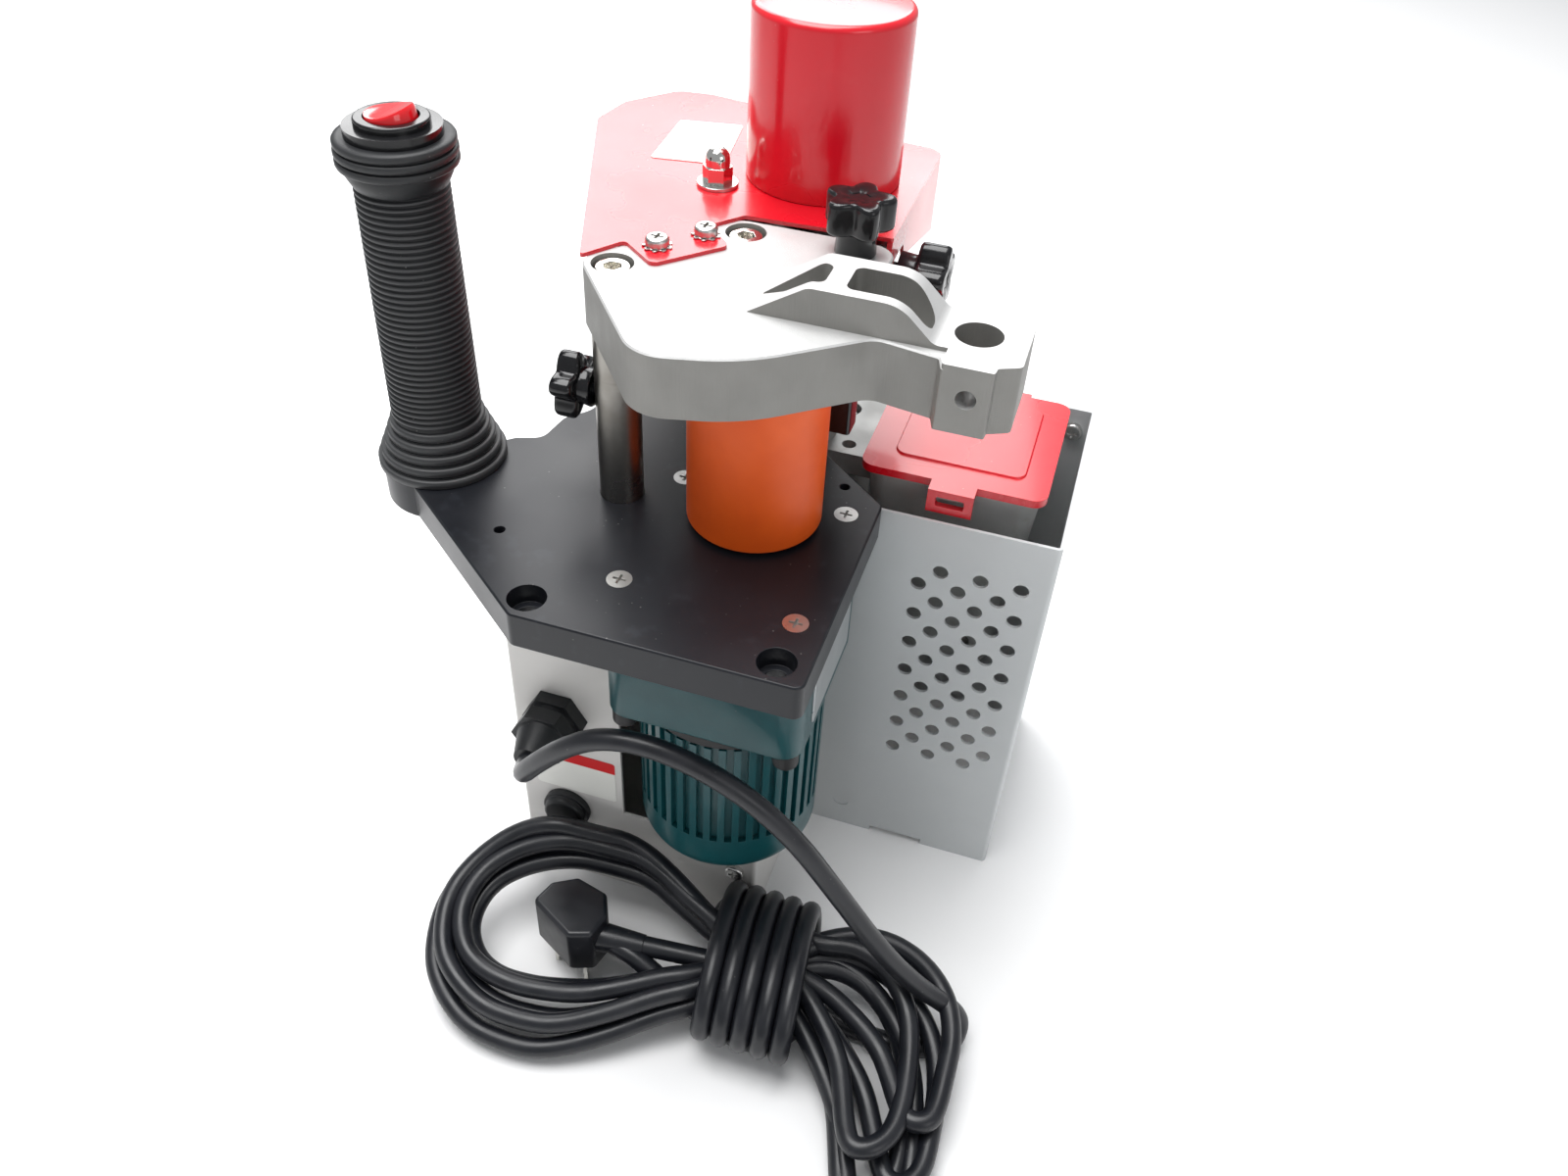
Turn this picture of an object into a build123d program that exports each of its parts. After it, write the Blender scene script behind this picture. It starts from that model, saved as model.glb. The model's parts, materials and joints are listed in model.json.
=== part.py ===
from build123d import *
import os
from math import acos, atan2, cos, degrees, hypot, pi, radians, sin, tan

# Portable edge banding machine, millimetres.
# Frame: the origin is on the floor, straight under the feed motor's axis.
# +X runs to the tape-reel boss, +Y to the back of the machine, +Z up.

os.makedirs("parts", exist_ok=True)

# ---------------------------------------------------------------- driving sizes
plate_top = 205.0          # height of the working surface above the floor
plate_thickness = 15.0
roller_gap = 74.0          # free height between the plate and the arm
arm_thickness = 22.5
sheet = 1.5                # steel sheet of the gear cover, cabinet and guard
fit = 0.05                 # radial clearance of pins, shafts and screws
loose = 0.4                # clearance beside parts that move

feed_axis = (0.0, 20.0)    # feed roller
feed_roller_diameter = 52.0
feed_hub_diameter = 36.0
feed_shaft_diameter = 12.0
roller_end_gap = 1.5       # roller to plate, and roller to arm

motor_frame = 80.0         # square face of the gear motor
motor_screw_pitch = 66.5
motor_length = 85.0        # motor body below the gear head
motor_diameter = 77.0
gearbox_height = 51.0      # square gear head

column_diameter = 17.0
front_column = (-53.0, 16.0)
rear_column = (-18.7, 56.4)
column_seat = 8.0          # depth that a column stands in the plate

glue_motor_axis = (-6.6, 113.3)
glue_roller_axis = (4.1, 91.8)
glue_roller_diameter = 20.0
glue_shaft_diameter = 10.0
can_diameter = 60.0
can_height = 64.0

handle_axis = (-129.0, 13.0)
handle_height = 132.8      # rubber grip above the plate
grip_foot_diameter = 50.0
grip_waist_diameter = 34.6
grip_neck_diameter = 32.6
grip_top_diameter = 41.5
rocker_diameter = 18.0
rocker_swing = 12.0        # tilt each side of level, degrees

cabinet_left = -92.0
cabinet_right = 20.0
cabinet_front = -20.0
cabinet_back = 156.0
guard_front = 50.0
guard_right = 117.0
guard_top_drop = 7.0       # guard's rim below the working surface
guard_hole_diameter = 6.5
guard_hole_pitch = 50.0 / 3

pot_left = 33.0
pot_right = 104.0
pot_front = 64.0
pot_back = 134.0
pot_depth = 96.0
pot_wall = 5.0
lid_margin = 2.4           # lid beyond the pot's rim
lid_thickness = 3.5
lid_swing = 50.0           # where the lid meets the side knob, degrees

cord_diameter = 8.5
gland_place = (-71.0, 107.0)    # x and z on the cabinet's front
socket_place = (-70.0, 47.0)

# ---------------------------------------------------------------- heights that follow
plate_bottom = plate_top - plate_thickness
arm_bottom = plate_top + roller_gap
arm_top = arm_bottom + arm_thickness
cover_top = arm_top + sheet
gearbox_bottom = plate_bottom - gearbox_height
motor_bottom = gearbox_bottom - motor_length
gear_plate_thickness = 8.0
gear_plate_bottom = arm_bottom - gear_plate_thickness
skirt_bottom = gear_plate_bottom - 1.0
guard_top = plate_top - guard_top_drop


def written(part, name):
    """Labels one finished sub-part and writes its STEP file."""
    part.label = name
    export_step(part, f"parts/{name}.step")


def gear_points(centre, teeth, module, turn, pressure=25.0, backlash=0.16):
    """Corner points of an involute gear; the first tooth points at the angle `turn`."""
    pitch_radius = module * teeth / 2
    base_radius = pitch_radius * cos(radians(pressure))
    root_radius = pitch_radius - 1.15 * module
    tip_radius = pitch_radius + 0.9 * module
    half_pitch = pi / (2 * teeth) - backlash / (2 * pitch_radius)
    involute = tan(radians(pressure)) - radians(pressure)

    def half_angle(radius):
        flank = acos(min(1.0, base_radius / radius))
        return half_pitch + involute - (tan(flank) - flank)

    start = max(base_radius, root_radius)
    flank_radii = [start + (tip_radius - start) * k / 4 for k in range(5)]
    half_teeth = [(r, half_angle(r)) for r in flank_radii]
    if root_radius < start:
        half_teeth.insert(0, (root_radius, half_teeth[0][1]))
    points = []
    for tooth in range(teeth):
        middle = radians(turn) + 2 * pi * tooth / teeth
        for r, half in half_teeth:
            points.append((centre[0] + r * cos(middle - half), centre[1] + r * sin(middle - half)))
        for r, half in reversed(half_teeth):
            points.append((centre[0] + r * cos(middle + half), centre[1] + r * sin(middle + half)))
    return points


def bearing_ring(place, bottom, height, inner, outer):
    """A shielded ball bearing as one ring with a shallow groove at each shield."""
    with BuildPart() as ring:
        with BuildSketch(Plane.XY.offset(bottom)):
            with Locations(place):
                Circle(outer)
                Circle(inner, mode=Mode.SUBTRACT)
        extrude(amount=height)
        middle = (inner + outer) / 2
        with BuildSketch(Plane.XY.offset(bottom + height)):
            with Locations(place):
                Circle(middle + 1.6)
                Circle(middle - 1.6, mode=Mode.SUBTRACT)
        extrude(amount=-0.5, mode=Mode.SUBTRACT)
    return ring.part


def star_knob(plane, hub_length, star_height, star_diameter):
    """Five-lobed knob on a tapered hub; it stands on the plane along its normal."""
    lobe = 5.2
    with BuildPart() as knob:
        with BuildSketch(plane):
            Circle(7.2)
        extrude(amount=hub_length)
        with BuildSketch(plane.offset(hub_length)):
            Circle(star_diameter * 0.36)
            with PolarLocations(star_diameter / 2 - lobe, 5, start_angle=90):
                Circle(lobe)
        extrude(amount=star_height)
    return knob.part


def at(places, height):
    """The flat places lifted to one height."""
    return [(x, y, height) for x, y in places]


upright = (Align.CENTER, Align.CENTER, Align.MIN)
hanging = (Align.CENTER, Align.CENTER, Align.MAX)

# ---------------------------------------------------------------- base plate
table_bolts = ((-59.5, -54.0), (33.0, -54.0))
table_bolt_radius = 4.25
table_bore_radius = 7.0
table_bore_depth = 8.0
small_holes = ((-86.0, -23.0), (28.0, 50.3))
half_pitch = motor_screw_pitch / 2
motor_corners = [(x, y) for x in (-half_pitch, half_pitch) for y in (-half_pitch, half_pitch)]
motor_screw_radius = 2.5
motor_screw_head = 4.75
columns = (front_column, rear_column)
column_radius = column_diameter / 2
column_screw_radius = 4.0
gear_posts = ((-70.0, 138.0), (-22.0, 138.0))
post_radius = 7.0
post_screw_radius = 3.0
handle_screw_radius = 4.0
cabinet_bolts = ((-84.0, 48.0), (-70.0, 104.0), (-52.0, -12.0), (-30.0, 128.0))
cabinet_bolt_radius = 2.5
lobe_radius = 23.6
feed_shaft_radius = feed_shaft_diameter / 2

with BuildPart() as base_plate:
    with BuildSketch(Plane.XY.offset(plate_bottom)):
        with BuildLine():
            FilletPolyline(
                (-62, -64), (45.3, -64), (45.3, 43.8), (-12, 92.6), (-12, 150), (-78, 150),
                (-90, 110), (-87, 65), (-96, 55), (-98, 38), (-108, 34), handle_axis,
                (handle_axis[0], handle_axis[1] - lobe_radius), (-87, -44),
                radius=[4, 4, 4, 3, 6, 6, 20, 12, 8, 6, 2, 0, 0, 4],
                close=True,
            )
        make_face()
        with Locations(handle_axis):
            Circle(lobe_radius)
    extrude(amount=plate_thickness)
    chamfer(base_plate.faces().sort_by(Axis.Z)[-1].edges(), 0.6)
    with Locations(*at(table_bolts, plate_top)):
        CounterBoreHole(table_bolt_radius, table_bore_radius, table_bore_depth, plate_thickness)
    with Locations(*at(small_holes, plate_top)):
        Hole(2.1, depth=plate_thickness)
    with Locations(*at(motor_corners, plate_top)):
        CounterSinkHole(motor_screw_radius + fit, motor_screw_head + fit, plate_thickness, 90)
    with Locations(*at(columns, plate_top - column_seat)):
        Cylinder(column_radius + fit, column_seat, align=upright, mode=Mode.SUBTRACT)
        Cylinder(column_screw_radius + fit, plate_thickness, align=hanging, mode=Mode.SUBTRACT)
    with Locations(*at(gear_posts, plate_top - column_seat)):
        Cylinder(post_radius + fit, column_seat, align=upright, mode=Mode.SUBTRACT)
        Cylinder(post_screw_radius + fit, plate_thickness, align=hanging, mode=Mode.SUBTRACT)
    with Locations(*at(cabinet_bolts, plate_bottom)):
        Cylinder(cabinet_bolt_radius + fit, 10, align=upright, mode=Mode.SUBTRACT)
    with Locations(*at([handle_axis], plate_bottom)):
        Cylinder(handle_screw_radius + fit, plate_thickness, align=upright, mode=Mode.SUBTRACT)
    with Locations(*at([feed_axis], plate_bottom)):
        Cylinder(feed_shaft_radius + 2, plate_thickness, align=upright, mode=Mode.SUBTRACT)
written(base_plate.part, "base_plate")

# ---------------------------------------------------------------- gear motor under the plate
flange_foot = 6.0
gearbox_half = motor_frame / 2
gearbox_top_wall = 6.0
gearbox_side_wall = 5.0
bearing_height = 6.0
feed_bearing_radius = 12.0
bell_thickness = 6.0
bell_bottom = gearbox_bottom - bell_thickness
gear_module = 0.8
pinion_teeth = 13
wheel_teeth = 32
gear_distance = gear_module * (pinion_teeth + wheel_teeth) / 2
lay_axis = ((gear_distance**2 - (feed_axis[1] / 2) ** 2) ** 0.5, feed_axis[1] / 2)
lay_radius = 2.5
gear_width = 7.0
lower_gear_bottom = gearbox_bottom + 2.0
upper_gear_bottom = lower_gear_bottom + gear_width + 2.0
nut_height = 5.0
screw_end = gearbox_bottom - nut_height

with BuildPart() as motor_screws:
    with Locations(*at(motor_corners, screw_end)):
        Cylinder(motor_screw_radius, plate_top - 1.0 - screw_end, align=upright)
    with Locations(*at(motor_corners, plate_top)):
        Cone(motor_screw_radius, motor_screw_head, motor_screw_head - motor_screw_radius, align=hanging)
    with Locations(*at(motor_corners, plate_top)):
        Box(5.0, 1.0, 1.6, align=hanging, mode=Mode.SUBTRACT)
        Box(1.0, 5.0, 1.6, align=hanging, mode=Mode.SUBTRACT)
written(motor_screws.part, "motor_screws")

with BuildPart() as motor_nuts:
    with Locations(*at(motor_corners, gearbox_bottom)):
        Cylinder(5.2, nut_height + 2.5, align=hanging)
    fillet(motor_nuts.faces().group_by(Axis.Z)[0].edges(), 1.6)
    with Locations(*at(motor_corners, gearbox_bottom)):
        Cylinder(motor_screw_radius + fit, nut_height, align=hanging, mode=Mode.SUBTRACT)
written(motor_nuts.part, "motor_nuts")

with BuildPart() as gearbox_housing:
    with BuildSketch(Plane.XY.offset(gearbox_bottom)):
        RectangleRounded(motor_frame, motor_frame, 9)
    extrude(amount=gearbox_height)
    fillet(gearbox_housing.faces().sort_by(Axis.Z)[0].edges(), 1.5)
    with BuildSketch(Plane.XY.offset(gearbox_bottom)):
        Rectangle(motor_frame - 2 * gearbox_side_wall, motor_frame - 2 * gearbox_side_wall)
        with Locations(*motor_corners):
            Circle(8.5, mode=Mode.SUBTRACT)
    extrude(amount=gearbox_height - gearbox_top_wall, mode=Mode.SUBTRACT)
    with Locations(*at(motor_corners, gearbox_bottom)):
        Cylinder(motor_screw_radius + fit, gearbox_height, align=upright, mode=Mode.SUBTRACT)
    with Locations(*at([feed_axis], plate_bottom)):
        Cylinder(feed_bearing_radius, gearbox_top_wall, align=hanging, mode=Mode.SUBTRACT)
    with Locations(*at([lay_axis], plate_bottom - gearbox_top_wall)):
        Cylinder(lay_radius + fit, 3.0, align=upright, mode=Mode.SUBTRACT)
written(gearbox_housing.part, "gearbox_housing")

motor_radius = motor_diameter / 2
fin_count = 40
fin_depth = 2.6
motor_bore = 33.1
rotor_shaft_radius = 5.0
rotor_bearing_radius = 11.0
motor_floor = 6.0
with BuildPart() as motor_housing:
    with BuildSketch(Plane.XY.offset(motor_bottom)):
        Circle(motor_radius)
    extrude(amount=bell_bottom - motor_bottom)
    fillet(motor_housing.faces().sort_by(Axis.Z)[0].edges(), 9)
    with BuildSketch(Plane.XY.offset(motor_bottom + 22)):
        with PolarLocations(motor_radius, fin_count):
            Rectangle(2 * fin_depth, 3.0)
    extrude(amount=bell_bottom - motor_bottom, mode=Mode.SUBTRACT)
    with Locations((0, 0, motor_bottom + motor_floor)):
        Cylinder(motor_bore, motor_length, align=upright, mode=Mode.SUBTRACT)
        Cylinder(rotor_bearing_radius + 3, 8.0, align=upright)
        Cylinder(rotor_bearing_radius, 8.0, align=upright, mode=Mode.SUBTRACT)
written(motor_housing.part, "motor_housing")

with BuildPart() as motor_end_bell:
    with Locations((0, 0, bell_bottom)):
        Cylinder(motor_radius - 0.5, bell_thickness, align=upright)
        Cylinder(rotor_bearing_radius, 4.0, align=upright, mode=Mode.SUBTRACT)
        Cylinder(rotor_shaft_radius + 1.0, bell_thickness, align=upright, mode=Mode.SUBTRACT)
    with Locations(*at([lay_axis], gearbox_bottom)):
        Cylinder(lay_radius + fit, 3.0, align=hanging, mode=Mode.SUBTRACT)
written(motor_end_bell.part, "motor_end_bell")

stator_bottom = motor_bottom + 26.0
stator_height = motor_length - 50.0
rotor_radius = 20.0
with BuildPart() as motor_stator:
    with BuildSketch(Plane.XY.offset(stator_bottom)):
        Circle(motor_bore - 0.05)
        Circle(rotor_radius + 0.4, mode=Mode.SUBTRACT)
    extrude(amount=stator_height)
written(motor_stator.part, "motor_stator")

with BuildPart() as motor_windings:
    for height in (stator_bottom - 9, stator_bottom + stator_height):
        with BuildSketch(Plane.XY.offset(height)):
            Circle(motor_bore - 2)
            Circle(rotor_radius + 3, mode=Mode.SUBTRACT)
        extrude(amount=9)
    fillet(motor_windings.edges().filter_by(GeomType.CIRCLE).group_by(Axis.Z)[0], 1.5)
    fillet(motor_windings.edges().filter_by(GeomType.CIRCLE).group_by(Axis.Z)[-1], 1.5)
written(motor_windings.part, "motor_windings")

rotor_gear_turn = degrees(atan2(lay_axis[1], lay_axis[0]))
with BuildPart() as motor_rotor:
    with Locations((0, 0, motor_bottom + motor_floor + 0.5)):
        Cylinder(rotor_shaft_radius, lower_gear_bottom - motor_bottom - motor_floor - 1, align=upright)
    with Locations((0, 0, stator_bottom)):
        Cylinder(rotor_radius, stator_height, align=upright)
    with BuildSketch(Plane.XY.offset(lower_gear_bottom - 0.5)):
        Circle(gear_module * pinion_teeth / 2 - gear_module * 1.2)
    extrude(amount=gear_width + 0.5)
    with BuildSketch(Plane.XY.offset(lower_gear_bottom)):
        with BuildLine():
            Polyline(*gear_points((0, 0), pinion_teeth, gear_module, rotor_gear_turn), close=True)
        make_face()
    extrude(amount=gear_width)
written(motor_rotor.part, "motor_rotor")

with BuildPart() as motor_bearings:
    add(bearing_ring((0, 0), motor_bottom + motor_floor, 8.0, rotor_shaft_radius + fit,
                     rotor_bearing_radius))
    add(bearing_ring((0, 0), bell_bottom - 4.0, 8.0, rotor_shaft_radius + fit,
                     rotor_bearing_radius))
written(motor_bearings.part, "motor_bearings")

lay_from_motor = rotor_gear_turn + 180 + 180 / wheel_teeth
lay_to_feed = degrees(atan2(feed_axis[1] - lay_axis[1], -lay_axis[0]))
with BuildPart() as lay_gear:
    with Locations(*at([lay_axis], gearbox_bottom - 2.8)):
        Cylinder(lay_radius, gearbox_height - gearbox_top_wall + 2.8 + 2.8, align=upright)
    with BuildSketch(Plane.XY.offset(lower_gear_bottom)):
        with BuildLine():
            Polyline(*gear_points(lay_axis, wheel_teeth, gear_module, lay_from_motor), close=True)
        make_face()
    extrude(amount=gear_width)
    with BuildSketch(Plane.XY.offset(lower_gear_bottom + gear_width)):
        with BuildLine():
            Polyline(*gear_points(lay_axis, pinion_teeth, gear_module, lay_to_feed), close=True)
        make_face()
    extrude(amount=gear_width + 2.0)
written(lay_gear.part, "lay_gear")

feed_gear_turn = lay_to_feed + 180 + 180 / wheel_teeth
feed_top_bearing_top = arm_bottom + bearing_height
feed_shaft_bottom = upper_gear_bottom - 0.7
with BuildPart() as feed_shaft:
    with Locations(*at([feed_axis], feed_shaft_bottom)):
        Cylinder(feed_shaft_radius, feed_top_bearing_top + 1.0 - feed_shaft_bottom, align=upright)
    chamfer(feed_shaft.faces().sort_by(Axis.Z)[-1].edges(), 0.8)
    with BuildSketch(Plane.XY.offset(upper_gear_bottom)):
        with BuildLine():
            Polyline(*gear_points(feed_axis, wheel_teeth, gear_module, feed_gear_turn), close=True)
        make_face()
    extrude(amount=gear_width)
written(feed_shaft.part, "feed_shaft")

with BuildPart() as feed_bearings:
    add(bearing_ring(feed_axis, plate_bottom - bearing_height, bearing_height,
                     feed_shaft_radius + fit, feed_bearing_radius))
    add(bearing_ring(feed_axis, arm_bottom, bearing_height, feed_shaft_radius + fit,
                     feed_bearing_radius))
written(feed_bearings.part, "feed_bearings")

with BuildPart() as motor_nameplate:
    with Locations((gearbox_half, 0, plate_bottom - gearbox_height / 2)):
        Box(0.8, 50, 34, align=(Align.MIN, Align.CENTER, Align.CENTER))
    fillet(motor_nameplate.edges().filter_by(Axis.X), 2)
written(motor_nameplate.part, "motor_nameplate")

# ---------------------------------------------------------------- feed roller
roller_bottom = plate_top + roller_end_gap
roller_height = roller_gap - 2 * roller_end_gap
feed_radius = feed_roller_diameter / 2
hub_radius = feed_hub_diameter / 2
with BuildPart() as feed_hub:
    with BuildSketch(Plane.XY.offset(roller_bottom)):
        with Locations(feed_axis):
            Circle(hub_radius)
            Circle(feed_shaft_radius, mode=Mode.SUBTRACT)
    extrude(amount=roller_height)
written(feed_hub.part, "feed_hub")

with BuildPart() as feed_sleeve:
    with BuildSketch(Plane.XY.offset(roller_bottom)):
        with Locations(feed_axis):
            Circle(feed_radius)
            Circle(hub_radius, mode=Mode.SUBTRACT)
    extrude(amount=roller_height)
    chamfer(feed_sleeve.edges().filter_by(GeomType.CIRCLE).sort_by(SortBy.RADIUS)[-2:], 0.8)
written(feed_sleeve.part, "feed_sleeve")

# ---------------------------------------------------------------- columns and arm
left_knob_drop = 29.0      # the left knob's centre below the arm's underside
left_knob_height = roller_gap - left_knob_drop
knob_screw_radius = 3.0
with BuildPart() as columns_pair:
    with Locations(*at(columns, plate_top - column_seat)):
        Cylinder(column_radius, roller_gap + column_seat, align=upright)
    chamfer(columns_pair.edges().filter_by(GeomType.CIRCLE), 0.5)
    with Locations(*at(columns, arm_bottom)):
        Cylinder(column_screw_radius + fit, 22, align=hanging, mode=Mode.SUBTRACT)
    with Locations(*at(columns, plate_top - column_seat)):
        Cylinder(column_screw_radius + fit, 22, align=upright, mode=Mode.SUBTRACT)
    with BuildSketch(Plane.YZ.offset(front_column[0] - column_radius - 1)):
        with Locations((front_column[1], plate_top + left_knob_height)):
            Circle(knob_screw_radius + fit)
    extrude(amount=12, mode=Mode.SUBTRACT)
written(columns_pair.part, "columns")

cap_head_radius = 6.5
cap_head_height = 8.0
cap_screw_length = 26.0


def cap_screw(radius, head_radius, head_height, length, socket):
    """Socket-head cap screw; the head stands above z = 0 and the shank hangs below."""
    with BuildPart() as screw:
        Cylinder(head_radius, head_height, align=upright)
        chamfer(screw.faces().sort_by(Axis.Z)[-1].edges(), head_radius * 0.1)
        with BuildSketch(Plane.XY.offset(head_height)):
            RegularPolygon(socket, 6)
        extrude(amount=-head_height * 0.5, mode=Mode.SUBTRACT)
        Cylinder(radius, length, align=hanging)
    return screw.part


def pan_screw():
    """Cross-recessed pan-head screw, 10 mm long under its head at z = 0."""
    with BuildPart() as screw:
        Cylinder(pan_head_radius, pan_head_height, align=upright)
        fillet(screw.faces().sort_by(Axis.Z)[-1].edges(), 1.2)
        with Locations((0, 0, pan_head_height)):
            Box(4.6, 1.1, 1.4, align=hanging, mode=Mode.SUBTRACT)
            Box(1.1, 4.6, 1.4, align=hanging, mode=Mode.SUBTRACT)
        Cylinder(pan_screw_radius, pan_screw_length, align=hanging)
    return screw.part


pan_head_radius = 4.25
pan_head_height = 3.0
pan_screw_radius = 2.5
pan_screw_length = 10.0
big_screw = cap_screw(column_screw_radius, cap_head_radius, cap_head_height, cap_screw_length, 3.4)
cap_seat = arm_top - 1.0 - cap_head_height
with BuildPart() as cap_screws:
    for place in columns:
        add(Pos(place[0], place[1], cap_seat) * big_screw)
        add(Pos(place[0], place[1], plate_bottom) * Rot(180, 0, 0) * big_screw)
    add(Pos(handle_axis[0], handle_axis[1], plate_bottom) * Rot(180, 0, 0) * big_screw)
written(cap_screws.part, "cap_screws")

boss_bore = (74.5, 13.5)
boss_bore_radius = 8.0
boss_front = -8.5
boss_top = arm_top + 1.5
clamp_hole = (75.9, arm_bottom + 12.8)
clamp_hole_radius = 3.4
rib_top = arm_top + 12.5
guide_post = (22.0, 56.0)
cover_screw_places = ((-42.5, 30.8), (-30.0, 45.6))
arm_back = 66.0
arm_plate_screws = ((-35.0, 38.0), (0.0, 59.0))
plate_screw_radius = 3.0
plate_screw_length = 20.0

with BuildPart() as top_arm:
    with BuildSketch(Plane.XY.offset(arm_bottom)):
        with BuildLine():
            FilletPolyline(
                (front_column[0] - 13.2, front_column[1] + 0.6), (-24, -37.5), (9, -28.5), (43.5, 1),
                (65, -2.7), (66.8, boss_front), (83.5, boss_front), (83.8, -5), (91, -1.5), (91, 28),
                (35.5, 28), (35.5, arm_back), (rear_column[0] - 5.7, arm_back),
                radius=[10, 16, 60, 8, 1.5, 1, 0.8, 0.8, 2.5, 3, 3, 9, 10],
                close=True,
            )
        make_face()
    extrude(amount=arm_thickness)
    chamfer(top_arm.faces().sort_by(Axis.Z)[-1].edges(), 0.6)
    with BuildSketch(Plane.XZ.offset(-28)):
        with BuildLine():
            FilletPolyline(
                (0, arm_top - 2), (0, arm_top), (20, rib_top), (50, rib_top), (62, boss_top),
                (68, boss_top), (68, arm_top - 2),
                radius=[0, 0, 6, 14, 5, 0, 0],
                close=True,
            )
        make_face()
    extrude(amount=26.5)
    with BuildSketch(Plane.XY.offset(arm_top - 1)):
        with BuildLine():
            FilletPolyline(
                (66.8, boss_front), (83.5, boss_front), (83.8, -5), (91, -1.5), (91, 28), (66.8, 28),
                radius=[1, 0.8, 0.8, 2.5, 3, 3],
                close=True,
            )
        make_face()
    extrude(amount=boss_top - arm_top + 1)
    with BuildSketch(Plane.XY.offset(arm_top)):
        with BuildLine():
            FilletPolyline((1, 13.5), (11, 6.8), (24, 6.5), (24, 21.5), radius=[0.8, 4, 3, 3], close=True)
        make_face()
    extrude(amount=20, mode=Mode.SUBTRACT)
    with BuildSketch(Plane.XY.offset(arm_top - 8)):
        with BuildLine():
            FilletPolyline((31, 6), (60, 6), (60, 22), (31, 22), radius=[3, 3, 11, 3], close=True)
        make_face()
    extrude(amount=40, mode=Mode.SUBTRACT)
    with Locations(*at(columns, arm_top)):
        Cylinder(7.5, arm_top - cap_seat, align=hanging, mode=Mode.SUBTRACT)
        Cylinder(column_screw_radius + fit, arm_thickness, align=hanging, mode=Mode.SUBTRACT)
    with Locations(*at(cover_screw_places, arm_top)):
        Cylinder(pan_screw_radius + fit, pan_screw_length, align=hanging, mode=Mode.SUBTRACT)
    with Locations(*at([feed_axis], arm_bottom)):
        Cylinder(feed_bearing_radius, bearing_height, align=upright, mode=Mode.SUBTRACT)
        Cylinder(feed_shaft_radius + 1, bearing_height + 2, align=upright, mode=Mode.SUBTRACT)
    with Locations(*at([guide_post], arm_bottom)):
        Cylinder(knob_screw_radius + fit, arm_thickness, align=upright, mode=Mode.SUBTRACT)
    with Locations(*at(arm_plate_screws, arm_bottom)):
        Cylinder(plate_screw_radius + fit, 12.5, align=upright, mode=Mode.SUBTRACT)
    with Locations(*at([boss_bore], arm_bottom)):
        Cylinder(boss_bore_radius, arm_thickness + 5, align=upright, mode=Mode.SUBTRACT)
    with BuildSketch(Plane.XZ.offset(-boss_front)):
        with Locations(clamp_hole):
            Circle(clamp_hole_radius)
    extrude(amount=-(boss_bore[1] - boss_front), mode=Mode.SUBTRACT)
written(top_arm.part, "top_arm")

# ---------------------------------------------------------------- tape presser and knobs
presser_height = 50.0
presser_bore = 18.0
with BuildPart() as tape_presser:
    with Locations(*at([guide_post], arm_bottom)):
        Box(11, 11, presser_height, align=hanging)
    fillet(tape_presser.edges().filter_by(Axis.Z), 1.5)
    with Locations(*at([guide_post], arm_bottom)):
        Cylinder(knob_screw_radius + fit, presser_bore, align=hanging, mode=Mode.SUBTRACT)
written(tape_presser.part, "tape_presser")

side_knob = (82.0, arm_bottom + 6.0)
block_left = 22.0
block_right = 31.0
cover_right = 32.5
left_knob = (front_column[1], plate_top + left_knob_height)
column_face = front_column[0] - column_radius
top_seat = Plane((guide_post[0], guide_post[1], arm_top + 0.4), z_dir=(0, 0, 1))
right_seat = Plane((cover_right + 1.0, side_knob[0], side_knob[1]), z_dir=(1, 0, 0))
left_seat = Plane((column_face - 0.5, left_knob[0], left_knob[1]), z_dir=(-1, 0, 0))
with BuildPart() as knob_top:
    add(star_knob(top_seat, 9.0, 12.0, 26.0))
    with Locations(top_seat):
        Cylinder(knob_screw_radius, arm_thickness + presser_bore - 1.0, align=hanging)
written(knob_top.part, "knob_top")
with BuildPart() as knob_right:
    add(star_knob(right_seat, 7.0, 12.0, 26.0))
    with Locations(right_seat):
        Cylinder(knob_screw_radius, cover_right + 1.0 - block_left - 1.0, align=hanging)
written(knob_right.part, "knob_right")
with BuildPart() as knob_left:
    add(star_knob(left_seat, 4.5, 9.0, 26.0))
    with Locations(left_seat):
        Cylinder(knob_screw_radius, 10.0, align=hanging)
written(knob_left.part, "knob_left")

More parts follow.
